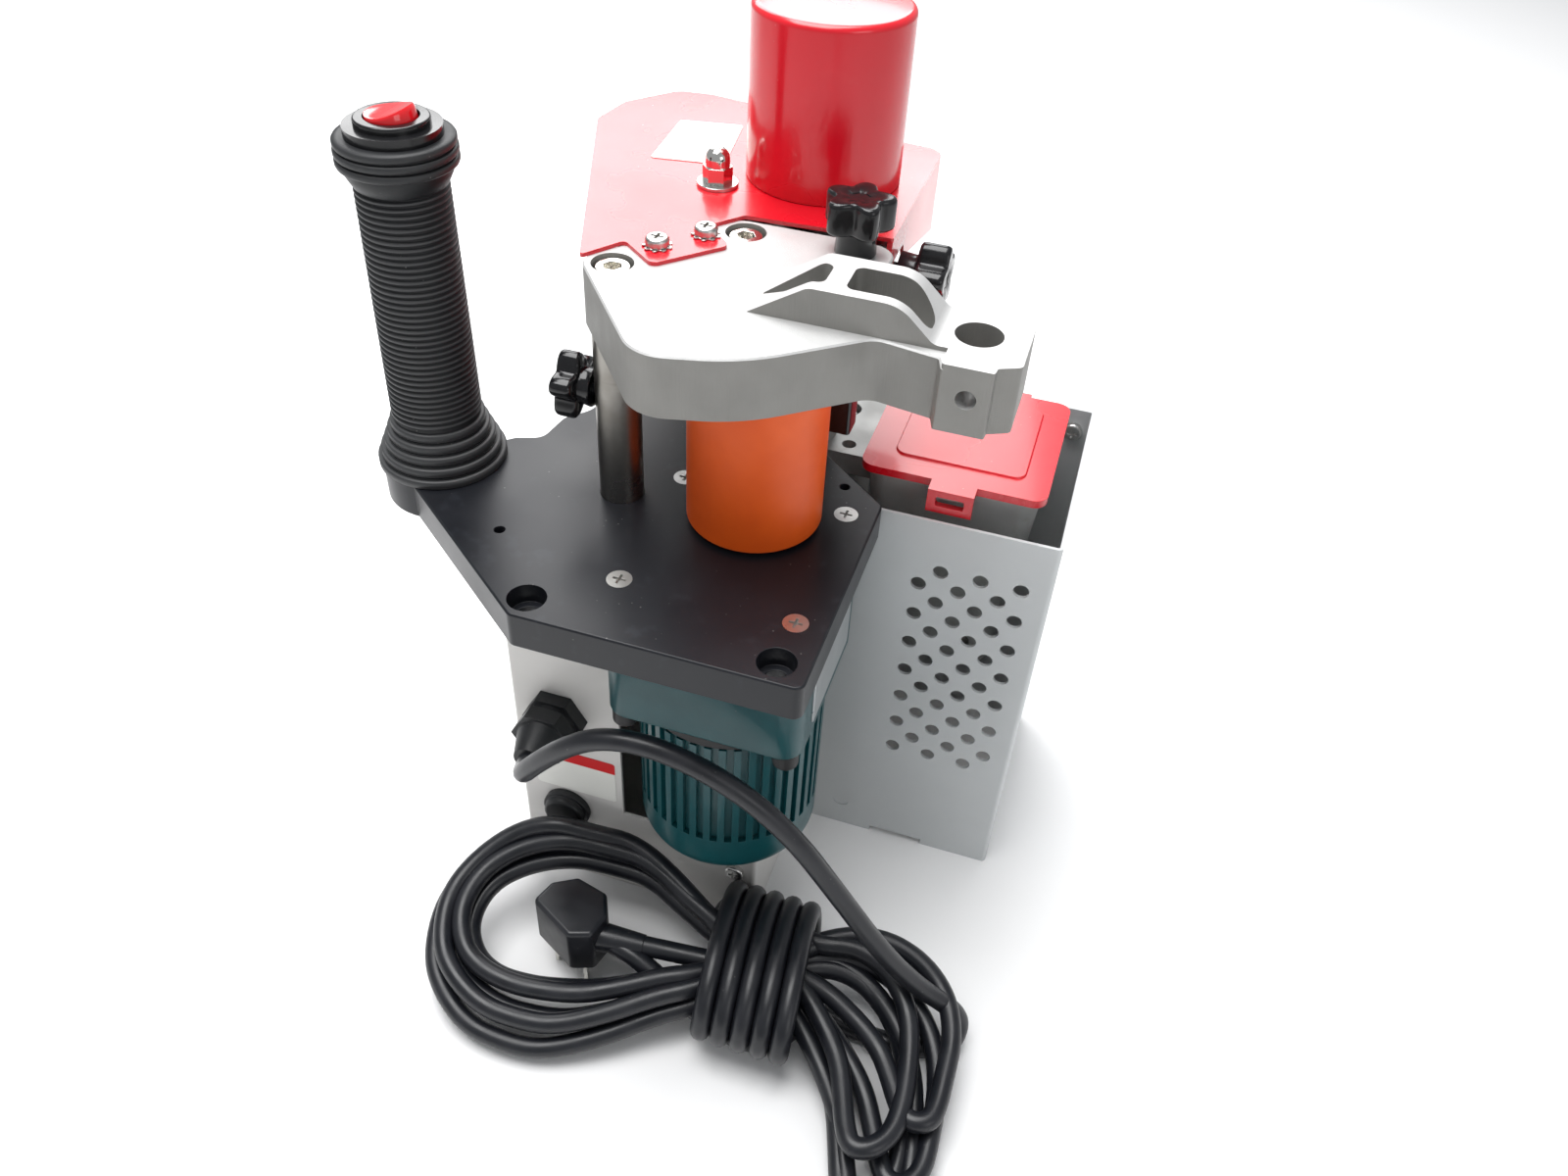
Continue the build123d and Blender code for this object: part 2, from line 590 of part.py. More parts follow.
# ---------------------------------------------------------------- gear plate and its posts
small_screw = cap_screw(plate_screw_radius, 5.0, 6.0, plate_screw_length, 2.6)
cover_stud_place = (-41.0, 88.0)
cover_stud_radius = 3.0
bush_radius = 7.0
glue_shaft_radius = glue_shaft_diameter / 2
pillar_radius = 4.0
pillar_places = [
    (glue_motor_axis[0] + 26 * cos(radians(a)), glue_motor_axis[1] + 26 * sin(radians(a)))
    for a in (20, 100, 200)
]
with BuildPart() as gear_plate:
    with BuildSketch(Plane.XY.offset(gear_plate_bottom)):
        with BuildLine():
            FilletPolyline(
                (-60, 34), (-100, 128), (-97, 148), (-82, 166), (-60, 168), (12, 153), (23, 150),
                (23, 92), (31, 92), (31, 72), (20, 72), (8, 68), (6, 52), (-6, 50), (-40, 28),
                radius=[4, 6, 6, 6, 6, 3, 3, 2, 1, 1, 2, 2, 3, 3, 3],
                close=True,
            )
        make_face()
        with Locations(rear_column):
            Circle(column_radius + 0.3, mode=Mode.SUBTRACT)
        with Locations(glue_roller_axis):
            Circle(bush_radius, mode=Mode.SUBTRACT)
        with Locations(cover_stud_place):
            Circle(cover_stud_radius + fit, mode=Mode.SUBTRACT)
        with Locations(*arm_plate_screws, *gear_posts):
            Circle(plate_screw_radius + fit, mode=Mode.SUBTRACT)
    extrude(amount=gear_plate_thickness)
    with Locations((block_left, side_knob[0], arm_bottom)):
        Box(block_right - block_left, 14, 18, align=(Align.MIN, Align.CENTER, Align.MIN))
    with BuildSketch(Plane.YZ.offset(block_left)):
        with Locations(side_knob):
            Circle(knob_screw_radius + fit)
    extrude(amount=block_right - block_left, mode=Mode.SUBTRACT)
written(gear_plate.part, "gear_plate")

post_height = gear_plate_bottom - plate_top + column_seat
with BuildPart() as gear_plate_posts:
    with Locations(*at(gear_posts, plate_top - column_seat)):
        Cylinder(post_radius, post_height, align=upright)
        Cylinder(post_screw_radius + fit, 14, align=upright, mode=Mode.SUBTRACT)
    with Locations(*at(gear_posts, gear_plate_bottom)):
        Cylinder(post_screw_radius + fit, 14, align=hanging, mode=Mode.SUBTRACT)
written(gear_plate_posts.part, "gear_plate_posts")

with BuildPart() as gear_plate_screws:
    for x, y in gear_posts:
        add(Pos(x, y, arm_bottom) * small_screw)
        add(Pos(x, y, plate_bottom) * Rot(180, 0, 0) * small_screw)
    for x, y in arm_plate_screws:
        add(Pos(x, y, gear_plate_bottom) * Rot(180, 0, 0) * small_screw)
written(gear_plate_screws.part, "gear_plate_screws")

# ---------------------------------------------------------------- glue roller and its drive
glue_module = 1.0
glue_pinion_teeth = 18
glue_gear_teeth = 30
glue_gear_bottom = arm_bottom + 2.0
glue_gear_width = 9.0
glue_turn = degrees(atan2(glue_roller_axis[1] - glue_motor_axis[1],
                          glue_roller_axis[0] - glue_motor_axis[0]))
lug_bottom = plate_bottom
lug_top = plate_bottom + 10.0
collar_top = plate_top + 1.0
bush_height = 8.0
glue_roller_bottom = plate_top + 5.0
glue_roller_top = gear_plate_bottom - 3.0
with BuildPart() as glue_bushes:
    with Locations(*at([glue_roller_axis], gear_plate_bottom),
                   *at([glue_roller_axis], collar_top - bush_height)):
        Cylinder(bush_radius, bush_height, align=upright)
        Cylinder(glue_shaft_radius + fit, bush_height, align=upright, mode=Mode.SUBTRACT)
written(glue_bushes.part, "glue_bushes")

with BuildPart() as glue_roller:
    with Locations(*at([glue_roller_axis], lug_bottom + 4.0)):
        Cylinder(glue_shaft_radius, glue_gear_bottom + glue_gear_width - lug_bottom - 4.0, align=upright)
    with Locations(*at([glue_roller_axis], glue_roller_bottom)):
        Cylinder(glue_roller_diameter / 2, glue_roller_top - glue_roller_bottom, align=upright)
written(glue_roller.part, "glue_roller")

with BuildPart() as glue_gear:
    with BuildSketch(Plane.XY.offset(glue_gear_bottom)):
        with BuildLine():
            Polyline(*gear_points(glue_roller_axis, glue_gear_teeth, glue_module,
                                  glue_turn + 180 + 180 / glue_gear_teeth), close=True)
        make_face()
        with Locations(glue_roller_axis):
            Circle(glue_shaft_radius, mode=Mode.SUBTRACT)
    extrude(amount=glue_gear_width)
written(glue_gear.part, "glue_gear")

bracket_bottom = glue_gear_bottom + glue_gear_width + 2.0
bracket_thickness = 4.0
glue_motor_bottom = bracket_bottom + bracket_thickness
glue_motor_height = 58.0
glue_motor_radius = 22.0
can_radius = can_diameter / 2
can_top = cover_top + can_height
with BuildPart() as glue_pinion:
    with BuildSketch(Plane.XY.offset(glue_gear_bottom)):
        with BuildLine():
            Polyline(*gear_points(glue_motor_axis, glue_pinion_teeth, glue_module, glue_turn), close=True)
        make_face()
    extrude(amount=glue_gear_width)
    with Locations(*at([glue_motor_axis], glue_gear_bottom)):
        Cylinder(3.0, glue_motor_bottom - glue_gear_bottom + 24, align=upright)
written(glue_pinion.part, "glue_pinion")

with BuildPart() as motor_bracket:
    with BuildSketch(Plane.XY.offset(bracket_bottom)):
        with Locations(glue_motor_axis):
            Circle(31)
            Circle(8, mode=Mode.SUBTRACT)
    extrude(amount=bracket_thickness)
    with Locations(*at(pillar_places, arm_bottom)):
        Cylinder(pillar_radius, bracket_bottom - arm_bottom, align=upright)
written(motor_bracket.part, "motor_bracket")

with BuildPart() as glue_motor:
    with Locations(*at([glue_motor_axis], glue_motor_bottom)):
        Cylinder(glue_motor_radius, glue_motor_height, align=upright)
    fillet(glue_motor.faces().sort_by(Axis.Z)[-1].edges(), 3)
    with Locations(*at([glue_motor_axis], glue_motor_bottom)):
        Cylinder(3.0 + fit, 26, align=upright, mode=Mode.SUBTRACT)
written(glue_motor.part, "glue_motor")

with BuildPart() as motor_can:
    with Locations(*at([glue_motor_axis], cover_top)):
        Cylinder(can_radius, can_height, align=upright)
    fillet(motor_can.faces().sort_by(Axis.Z)[-1].edges(), 2.5)
    with Locations(*at([glue_motor_axis], cover_top)):
        Cylinder(can_radius - sheet, can_height - sheet, align=upright, mode=Mode.SUBTRACT)
written(motor_can.part, "motor_can")

# ---------------------------------------------------------------- red gear cover
with BuildPart() as gear_cover:
    with BuildSketch(Plane.XY.offset(arm_top)):
        with BuildLine():
            FilletPolyline(
                (-64.5, 14.5), (-109, 130), (-106, 152), (-90, 174), (-75, 176), (-58.5, 173.6),
                (14, 159), (32.5, 157), (cover_right, 69.5), (-22.5, 66.5), (-31.8, 54),
                (-19.8, 41.3), (-39.6, 17.9), (-54.5, 30.5),
                radius=[1, 8, 8, 8, 5, 8, 8, 8, 1, 2, 2, 3, 3, 2],
                close=True,
            )
        make_face()
        with Locations(glue_motor_axis):
            Circle(can_radius - 3, mode=Mode.SUBTRACT)
        with Locations(cover_stud_place):
            Circle(cover_stud_radius + 0.4, mode=Mode.SUBTRACT)
        with Locations(*cover_screw_places):
            Circle(pan_screw_radius + 0.2, mode=Mode.SUBTRACT)
    extrude(amount=sheet)
    with BuildSketch(Plane.XY.offset(skirt_bottom)):
        with BuildLine():
            FilletPolyline(
                (-75.9, 44), (-109, 130), (-106, 152), (-90, 174), (-75, 176), (-58.5, 173.6),
                (14, 159), (32.5, 157), (cover_right, 69.5),
                radius=[0, 8, 8, 8, 5, 8, 8, 8, 0],
                close=True,
            )
        make_face()
        with BuildLine():
            FilletPolyline(
                (-74.3, 44.4), (-107.4, 130.2), (-104.5, 151.4), (-89.3, 172.5), (-75, 174.5),
                (-58.7, 172.1), (13.8, 157.5), (31, 155.6), (cover_right - sheet, 69.5), (0, 40),
                radius=[0, 7, 7, 7, 4, 7, 7, 7, 0, 0],
                close=True,
            )
        make_face(mode=Mode.SUBTRACT)
    extrude(amount=arm_top - skirt_bottom)
    with BuildSketch(Plane.YZ.offset(cover_right + 1)):
        with BuildLine():
            FilletPolyline(
                (158, skirt_bottom - 1), (158, skirt_bottom), (94, skirt_bottom + 15.5),
                (90, skirt_bottom + 22), (74, skirt_bottom + 22), (74, skirt_bottom - 1),
                radius=[0, 0, 2, 2, 2, 0],
                close=True,
            )
        make_face()
    extrude(amount=-4, mode=Mode.SUBTRACT)
    with BuildSketch(Plane.YZ.offset(cover_right - 4)):
        with Locations(side_knob):
            Circle(knob_screw_radius + 0.6)
    extrude(amount=6, mode=Mode.SUBTRACT)
written(gear_cover.part, "gear_cover")

nut_seat = cover_top + 1.5
with BuildPart() as cover_stud:
    with Locations(*at([cover_stud_place], gear_plate_bottom)):
        Cylinder(cover_stud_radius, nut_seat + 7.5 - gear_plate_bottom, align=upright)
written(cover_stud.part, "cover_stud")

with BuildPart() as cover_washers:
    with BuildSketch(Plane.XY.offset(cover_top)):
        with Locations(cover_stud_place):
            Circle(8)
            Circle(cover_stud_radius + 0.2, mode=Mode.SUBTRACT)
    extrude(amount=1.5)
    with BuildSketch(Plane.XY.offset(cover_top)):
        with Locations(*cover_screw_places):
            RegularPolygon(5.4, 12)
            RegularPolygon(5.4, 12, rotation=15)
            Circle(pan_screw_radius + 0.2, mode=Mode.SUBTRACT)
    extrude(amount=0.8)
written(cover_washers.part, "cover_washers")

with BuildPart() as acorn_nut:
    with BuildSketch(Plane.XY.offset(nut_seat)):
        with Locations(cover_stud_place):
            RegularPolygon(5.8, 6, rotation=12)
    extrude(amount=6)
    with Locations(*at([cover_stud_place], nut_seat + 6)):
        Cylinder(4.7, 2.5, align=upright)
        with Locations((0, 0, 2.5)):
            Sphere(4.7)
    with Locations(*at([cover_stud_place], nut_seat)):
        Cylinder(cover_stud_radius + fit, 8, align=upright, mode=Mode.SUBTRACT)
written(acorn_nut.part, "acorn_nut")

with BuildPart() as labels:
    with BuildSketch(Plane.XY.offset(cover_top)):
        with BuildLine():
            FilletPolyline((-73.7, 101), (-44.6, 106), (-51, 147.5), (-76.9, 142),
                           radius=[1.5, 1.5, 1.5, 1.5], close=True)
        make_face()
    extrude(amount=0.3)
    with BuildSketch(Plane.XZ.offset(-cabinet_front)):
        with Locations((-65, 71.5)):
            RectangleRounded(38, 25, 1.5)
    extrude(amount=0.3)
written(labels.part, "labels")

# ---------------------------------------------------------------- glue pot and its lid
pot_rim = plate_top + 1.0
pot_bottom = pot_rim - pot_depth
pot_floor = 20.0
hinge_axis = (pot_back + 5.5, pot_rim - 4.0)
hinge_pin_radius = 2.0
ear_places = (pot_left + 10, pot_right - 10)
ear_width = 5.0
edge = 1.1
collar_radius = 8.8
lug_screws = ((-2.0, 114.0), (13.0, 114.0))
heater_radius = 5.0
heater_length = 50.0
pot_middle = ((pot_left + pot_right) / 2, (pot_front + pot_back) / 2)
heater_places = (pot_middle[0] - 13.5, pot_middle[0] + 13.5)
heater_height = pot_bottom + pot_floor / 2
lug_edge = (4.8, 80.0)
with BuildPart() as glue_pot:
    with BuildSketch(Plane.XY.offset(pot_rim)):
        with Locations(pot_middle):
            RectangleRounded(pot_right - pot_left, pot_back - pot_front, 8)
    with BuildSketch(Plane.XY.offset(pot_bottom)):
        with Locations(pot_middle):
            RectangleRounded(pot_right - pot_left - 16, pot_back - pot_front - 16, 6)
    loft()
    with BuildSketch(Plane.XY.offset(lug_bottom)):
        with BuildLine():
            FilletPolyline(
                lug_edge, (pot_left + 4, 80), (pot_left + 4, 125), (-9, 125), (-9, 92.2),
                radius=[1, 0, 0, 3, 1],
                close=True,
            )
        make_face()
        with Locations(glue_roller_axis):
            Circle(collar_radius)
    extrude(amount=lug_top - lug_bottom)
    with Locations(*at([glue_roller_axis], lug_top)):
        Cylinder(collar_radius, collar_top - lug_top, align=upright)
    for x in ear_places:
        with BuildSketch(Plane.YZ.offset(x - ear_width / 2)):
            with BuildLine():
                FilletPolyline(
                    (pot_back - 6, pot_rim), (hinge_axis[0] + 4, pot_rim),
                    (hinge_axis[0] + 4, hinge_axis[1] - 5), (pot_back - 6, hinge_axis[1] - 16),
                    radius=[0, 3, 3, 0],
                    close=True,
                )
            make_face()
        extrude(amount=ear_width)
    for x in (62.5, 74.5):
        with Locations((x, pot_front + 2, pot_rim - 1.5)):
            Box(2, 8, 4, align=(Align.MIN, Align.MAX, Align.CENTER))
    with BuildSketch(Plane.YZ.offset(62.5)):
        with Locations((pot_front - 4.6, pot_rim - 1.5)):
            Circle(1.5)
    extrude(amount=14)
    with BuildSketch(Plane.XY.offset(pot_rim)):
        with Locations(pot_middle):
            RectangleRounded(pot_right - pot_left - 2 * pot_wall, pot_back - pot_front - 2 * pot_wall, 5)
    with BuildSketch(Plane.XY.offset(pot_bottom + pot_floor)):
        with Locations(pot_middle):
            RectangleRounded(pot_right - pot_left - 2 * pot_wall - 12,
                             pot_back - pot_front - 2 * pot_wall - 12, 3)
    loft(mode=Mode.SUBTRACT)
    with Locations(*at([glue_roller_axis], collar_top)):
        Cylinder(bush_radius, bush_height, align=hanging, mode=Mode.SUBTRACT)
    with Locations(*at([glue_roller_axis], lug_bottom + 2)):
        Cylinder(glue_shaft_radius + fit, 10, align=upright, mode=Mode.SUBTRACT)
    with Locations(*at(lug_screws, lug_bottom + 5)):
        Cylinder(5.5, 10, align=upright, mode=Mode.SUBTRACT)
        Cylinder(pan_screw_radius + fit, 10, align=hanging, mode=Mode.SUBTRACT)
    with Locations(*at([(20.2, 87.1)], lug_top)):
        Cylinder(3, 4, align=hanging, mode=Mode.SUBTRACT)
    with BuildSketch(Plane.YZ.offset(pot_left)):
        with Locations(hinge_axis):
            Circle(hinge_pin_radius)
    extrude(amount=pot_right - pot_left, mode=Mode.SUBTRACT)
    with BuildSketch(Plane.XZ.offset(-pot_front)):
        with Locations(*[(x, heater_height) for x in heater_places]):
            Circle(heater_radius)
    extrude(amount=-(heater_length + 10), mode=Mode.SUBTRACT)
written(glue_pot.part, "glue_pot")

with BuildPart() as heaters:
    with BuildSketch(Plane.XZ.offset(-(pot_front + 10))):
        with Locations(*[(x, heater_height) for x in heater_places]):
            Circle(heater_radius)
    extrude(amount=-heater_length)
written(heaters.part, "heaters")

lid_bottom = pot_rim + 0.5
lid_top = lid_bottom + lid_thickness
tab_left = 60.5
tab_right = 79.0
with BuildPart() as pot_lid:
    with BuildSketch(Plane.XY.offset(lid_bottom)):
        with Locations((pot_middle[0], pot_middle[1] + 0.3)):
            RectangleRounded(pot_right - pot_left + 2 * lid_margin, pot_back - pot_front + 5.4, 6)
    extrude(amount=lid_thickness)
    with BuildSketch(Plane.XY.offset(lid_top)):
        with Locations((pot_middle[0] + 0.5, pot_middle[1] + 1.7)):
            RectangleRounded(54, 55, 5)
    extrude(amount=0.9, taper=30)
    with Locations(((tab_left + tab_right) / 2, pot_front - 9.5, lid_top)):
        Box(tab_right - tab_left, 8, lid_thickness, align=(Align.CENTER, Align.MIN, Align.MAX))
        Box(tab_right - tab_left, 3, 10.5, align=(Align.CENTER, Align.MIN, Align.MAX))
    with BuildSketch(Plane.XZ.offset(-(pot_front - 10))):
        with Locations(((tab_left + tab_right) / 2, lid_bottom - 1.7)):
            RectangleRounded(11.5, 4.4, 1)
    extrude(amount=-5, mode=Mode.SUBTRACT)
    with Locations((pot_middle[0], pot_back + 2, lid_top)):
        Box(40, hinge_axis[0] - pot_back - 2, lid_top - hinge_axis[1],
            align=(Align.CENTER, Align.MIN, Align.MAX))
    with BuildSketch(Plane.YZ.offset(pot_middle[0] - 20)):
        with Locations(hinge_axis):
            Circle(3.6)
    extrude(amount=40)
    with BuildSketch(Plane.YZ.offset(pot_middle[0] - 20)):
        with Locations(hinge_axis):
            Circle(hinge_pin_radius + fit)
    extrude(amount=40, mode=Mode.SUBTRACT)
written(pot_lid.part, "pot_lid")

with BuildPart() as hinge_pin:
    with BuildSketch(Plane.YZ.offset(pot_left + 6)):
        with Locations(hinge_axis):
            Circle(hinge_pin_radius)
    extrude(amount=pot_right - pot_left - 12)
written(hinge_pin.part, "hinge_pin")

# ---------------------------------------------------------------- perforated guard
flange = 12.0
hole_grids = ((88.0, guard_top - 74.6), (79.7, guard_top - 82.9))
guard_screws = [(y, z) for y in (guard_front + 6, cabinet_back - 6) for z in (30.0, guard_top - 28)]
earth_screw = (109.0, guard_top - 11.0)
with BuildPart() as perforated_guard:
    with BuildSketch():
        Polygon((cabinet_right, guard_front), (guard_right, guard_front), (guard_right, cabinet_back),
                (cabinet_right, cabinet_back), align=None)
        Polygon((cabinet_right + sheet, guard_front + sheet), (guard_right - sheet, guard_front + sheet),
                (guard_right - sheet, cabinet_back - sheet), (cabinet_right + sheet, cabinet_back - sheet),
                align=None, mode=Mode.SUBTRACT)
        Polygon((cabinet_right - 1, guard_front + flange),
                (cabinet_right + sheet + 0.1, guard_front + flange),
                (cabinet_right + sheet + 0.1, cabinet_back - flange),
                (cabinet_right - 1, cabinet_back - flange), align=None, mode=Mode.SUBTRACT)
    extrude(amount=guard_top)
    outer_edges = perforated_guard.edges().filter_by(Axis.Z).filter_by_position(
        Axis.X, guard_right - 0.1, guard_right + 0.1)
    fillet(outer_edges, 2.2)
    inner_edges = perforated_guard.edges().filter_by(Axis.Z).filter_by_position(
        Axis.X, guard_right - sheet - 0.1, guard_right - sheet + 0.1)
    fillet(inner_edges, 0.7)
    with BuildSketch(Plane.XZ.offset(-guard_front + 1)):
        for centre in hole_grids:
            with Locations(centre):
                with GridLocations(guard_hole_pitch, guard_hole_pitch, 3, 7):
                    Circle(guard_hole_diameter / 2)
        with Locations((71, 0)):
            Rectangle(26, 6.6)
    extrude(amount=-4, mode=Mode.SUBTRACT)
    with BuildSketch(Plane.XZ.offset(-guard_front)):
        with Locations((42, 17)):
            Circle(4)
    extrude(amount=-0.6, mode=Mode.SUBTRACT)
    with BuildSketch(Plane.YZ.offset(cabinet_right - 1)):
        with Locations(*guard_screws):
            Circle(pan_screw_radius + fit)
    extrude(amount=4, mode=Mode.SUBTRACT)
    with BuildSketch(Plane.XZ.offset(-cabinet_back + 3)):
        with Locations(earth_screw):
            Circle(pan_screw_radius + fit)
    extrude(amount=-5, mode=Mode.SUBTRACT)
    with Locations((cabinet_right - 1, guard_front - 1, plate_bottom - 1)):
        Box(22, 16, 20, align=(Align.MIN, Align.MIN, Align.MIN), mode=Mode.SUBTRACT)
written(perforated_guard.part, "perforated_guard")

# ---------------------------------------------------------------- control cabinet
front_screw = (10.5, 34.6)
back_screws = [(x, z) for x in (cabinet_left + 7, cabinet_right - 7) for z in (8.0, plate_bottom - 8)]
cut_left = -43.0
cut_back = 43.0
cut_bottom = motor_bottom - 2.0
with BuildPart() as control_cabinet:
    with Locations((cabinet_left, cabinet_front, 0)):
        Box(cabinet_right - cabinet_left, cabinet_back - cabinet_front, plate_bottom,
            align=(Align.MIN, Align.MIN, Align.MIN))
    fillet(control_cabinet.edges().filter_by(Axis.Z), 2)
    with Locations((cabinet_left + sheet, cabinet_front + sheet, sheet)):
        Box(cabinet_right - cabinet_left - 2 * sheet, cabinet_back - cabinet_front - 2 * sheet,
            plate_bottom - 2 * sheet, align=(Align.MIN, Align.MIN, Align.MIN), mode=Mode.SUBTRACT)
    with Locations((cabinet_left + 14, cabinet_back - 5, 15)):
        Box(cabinet_right - cabinet_left - 28, 10, plate_bottom - 30,
            align=(Align.MIN, Align.MIN, Align.MIN), mode=Mode.SUBTRACT)
    with Locations((cut_left, cabinet_front - 1, cut_bottom)):
        Box(cabinet_right - cut_left + 1, cut_back - cabinet_front + 1, plate_bottom,
            align=(Align.MIN, Align.MIN, Align.MIN), mode=Mode.SUBTRACT)
    with BuildSketch(Plane.XZ.offset(-cabinet_front + 1)):
        with Locations(gland_place):
            Circle(8 + fit)
        with Locations(socket_place):
            Circle(6 + fit)
        with Locations(front_screw):
            Circle(pan_screw_radius + fit)
    extrude(amount=-4, mode=Mode.SUBTRACT)
    with BuildSketch(Plane.XZ.offset(-cabinet_back - 1)):
        with Locations(*back_screws):
            Circle(pan_screw_radius + fit)
    extrude(amount=4, mode=Mode.SUBTRACT)
    with BuildSketch(Plane.YZ.offset(cabinet_right + 1)):
        with Locations(*guard_screws):
            Circle(pan_screw_radius + fit)
    extrude(amount=-4, mode=Mode.SUBTRACT)
    with Locations(*at(cabinet_bolts, plate_bottom), *at(lug_screws, plate_bottom)):
        Cylinder(pan_screw_radius + fit, 4, align=hanging, mode=Mode.SUBTRACT)
    with Locations(*at(gear_posts, plate_bottom)):
        Cylinder(6, 4, align=hanging, mode=Mode.SUBTRACT)
    with Locations(*at([rear_column], plate_bottom)):
        Cylinder(8, 4, align=hanging, mode=Mode.SUBTRACT)
    with Locations(*at([front_column], plate_bottom)):
        Cylinder(8, 4, align=hanging, mode=Mode.SUBTRACT)
written(control_cabinet.part, "control_cabinet")

with BuildPart() as cabinet_back_cover:
    with Locations((cabinet_left + 1, cabinet_back, 1)):
        Box(cabinet_right - cabinet_left - 2, sheet, plate_bottom - 2,
            align=(Align.MIN, Align.MIN, Align.MIN))
    with BuildSketch(Plane.XZ.offset(-cabinet_back)):
        with Locations(*back_screws):
            Circle(pan_screw_radius + fit)
    extrude(amount=-4, mode=Mode.SUBTRACT)
    with BuildSketch(Plane.XZ.offset(-cabinet_back)):
        with Locations(((cabinet_left + cabinet_right) / 2, plate_bottom * 0.4)):
            with GridLocations(8, 12, 6, 3):
                SlotOverall(9, 3, rotation=90)
    extrude(amount=-4, mode=Mode.SUBTRACT)
written(cabinet_back_cover.part, "cabinet_back_cover")

board_places = ((60.0, 45.0), (135.0, 45.0), (60.0, 140.0), (135.0, 140.0))
with BuildPart() as controller_board:
    with BuildSketch(Plane.YZ.offset(cabinet_left + sheet)):
        with Locations(*board_places):
            Circle(3)
    extrude(amount=8)
    with Locations((cabinet_left + sheet + 8, 54, 38)):
        Box(1.6, 88, 110, align=(Align.MIN, Align.MIN, Align.MIN))
    with Locations((cabinet_left + sheet + 9.6, 64, 50)):
        Box(26, 30, 36, align=(Align.MIN, Align.MIN, Align.MIN))
    with Locations((cabinet_left + sheet + 9.6, 104, 50)):
        Box(12, 24, 14, align=(Align.MIN, Align.MIN, Align.MIN))
    with Locations((cabinet_left + sheet + 9.6, 64, 104)):
        Box(16, 56, 12, align=(Align.MIN, Align.MIN, Align.MIN))
written(controller_board.part, "controller_board")

pan = pan_screw()
with BuildPart() as pan_screws:
    for x, y in cover_screw_places:
        add(Pos(x, y, cover_top + 0.8) * pan)
    for x, y in cabinet_bolts:
        add(Pos(x, y, plate_bottom - sheet) * Rot(180, 0, 0) * pan)
    for x, y in lug_screws:
        add(Pos(x, y, lug_bottom + 5) * pan)
    for y, z in guard_screws:
        add(Pos(cabinet_right + sheet, y, z) * Rot(0, 90, 0) * pan)
    for x, z in back_screws:
        add(Pos(x, cabinet_back + sheet, z) * Rot(-90, 0, 0) * pan)
    add(Pos(earth_screw[0], cabinet_back - sheet, earth_screw[1]) * Rot(90, 0, 0) * pan)
    add(Pos(front_screw[0], cabinet_front, front_screw[1]) * Rot(90, 0, 0) * pan)
written(pan_screws.part, "pan_screws")

# ---------------------------------------------------------------- cable entries
cord_radius = cord_diameter / 2
gland_end = cabinet_front - 28.0
with BuildPart() as cable_gland:
    with BuildSketch(Plane.XZ.offset(-cabinet_front)):
        with Locations(gland_place):
            RegularPolygon(12, 6, major_radius=False)
    extrude(amount=6)
    with BuildSketch(Plane.XZ.offset(-cabinet_front + 6)):
        with Locations(gland_place):
            Circle(11)
    extrude(amount=3)
    with BuildSketch(Plane.XZ.offset(-cabinet_front + 9)):
        with Locations(gland_place):
            RegularPolygon(12, 6, major_radius=False)
    extrude(amount=7)
    with BuildSketch(Plane.XZ.offset(-cabinet_front + 16)):
        with Locations(gland_place):
            Circle(11)
    extrude(amount=12, taper=20)
    with BuildSketch(Plane.XZ.offset(-cabinet_front)):
        with Locations(gland_place):
            Circle(8)
    extrude(amount=-14)
    with BuildSketch(Plane.XZ.offset(-gland_end)):
        with Locations(gland_place):
            Circle(cord_radius)
    extrude(amount=-50, mode=Mode.SUBTRACT)
written(cable_gland.part, "cable_gland")

with BuildPart() as gland_locknut:
    with BuildSketch(Plane.XZ.offset(-cabinet_front - sheet)):
        with Locations(gland_place):
            RegularPolygon(12, 6, major_radius=False)
            Circle(8, mode=Mode.SUBTRACT)
    extrude(amount=-5)
written(gland_locknut.part, "gland_locknut")

with BuildPart() as socket_boot:
    with BuildSketch(Plane.XZ.offset(-cabinet_front)):
        with Locations(socket_place):
            Circle(11)
    extrude(amount=3.5)
    with BuildSketch(Plane.XZ.offset(-cabinet_front + 3.5)):
        with Locations(socket_place):
            Circle(9.5)
    extrude(amount=3.5)
    fillet(socket_boot.faces().sort_by(Axis.Y)[0].edges(), 2)
    with BuildSketch(Plane.XZ.offset(-cabinet_front)):
        with Locations(socket_place):
            Circle(6)
    extrude(amount=-10)
written(socket_boot.part, "socket_boot")

# ---------------------------------------------------------------- handle with its rocker switch
tube_radius = 13.0
tube_wall = 2.0
tube_top = plate_top + handle_height - 4.0
with BuildPart() as handle_tube:
    with Locations(*at([handle_axis], plate_top)):
        Cylinder(tube_radius, tube_top - plate_top, align=upright)
    with Locations(*at([handle_axis], plate_top + 16)):
        Cylinder(tube_radius - tube_wall, tube_top, align=upright, mode=Mode.SUBTRACT)
    with Locations(*at([handle_axis], plate_top)):
        Cylinder(column_screw_radius + fit, 16, align=upright, mode=Mode.SUBTRACT)
written(handle_tube.part, "handle_tube")

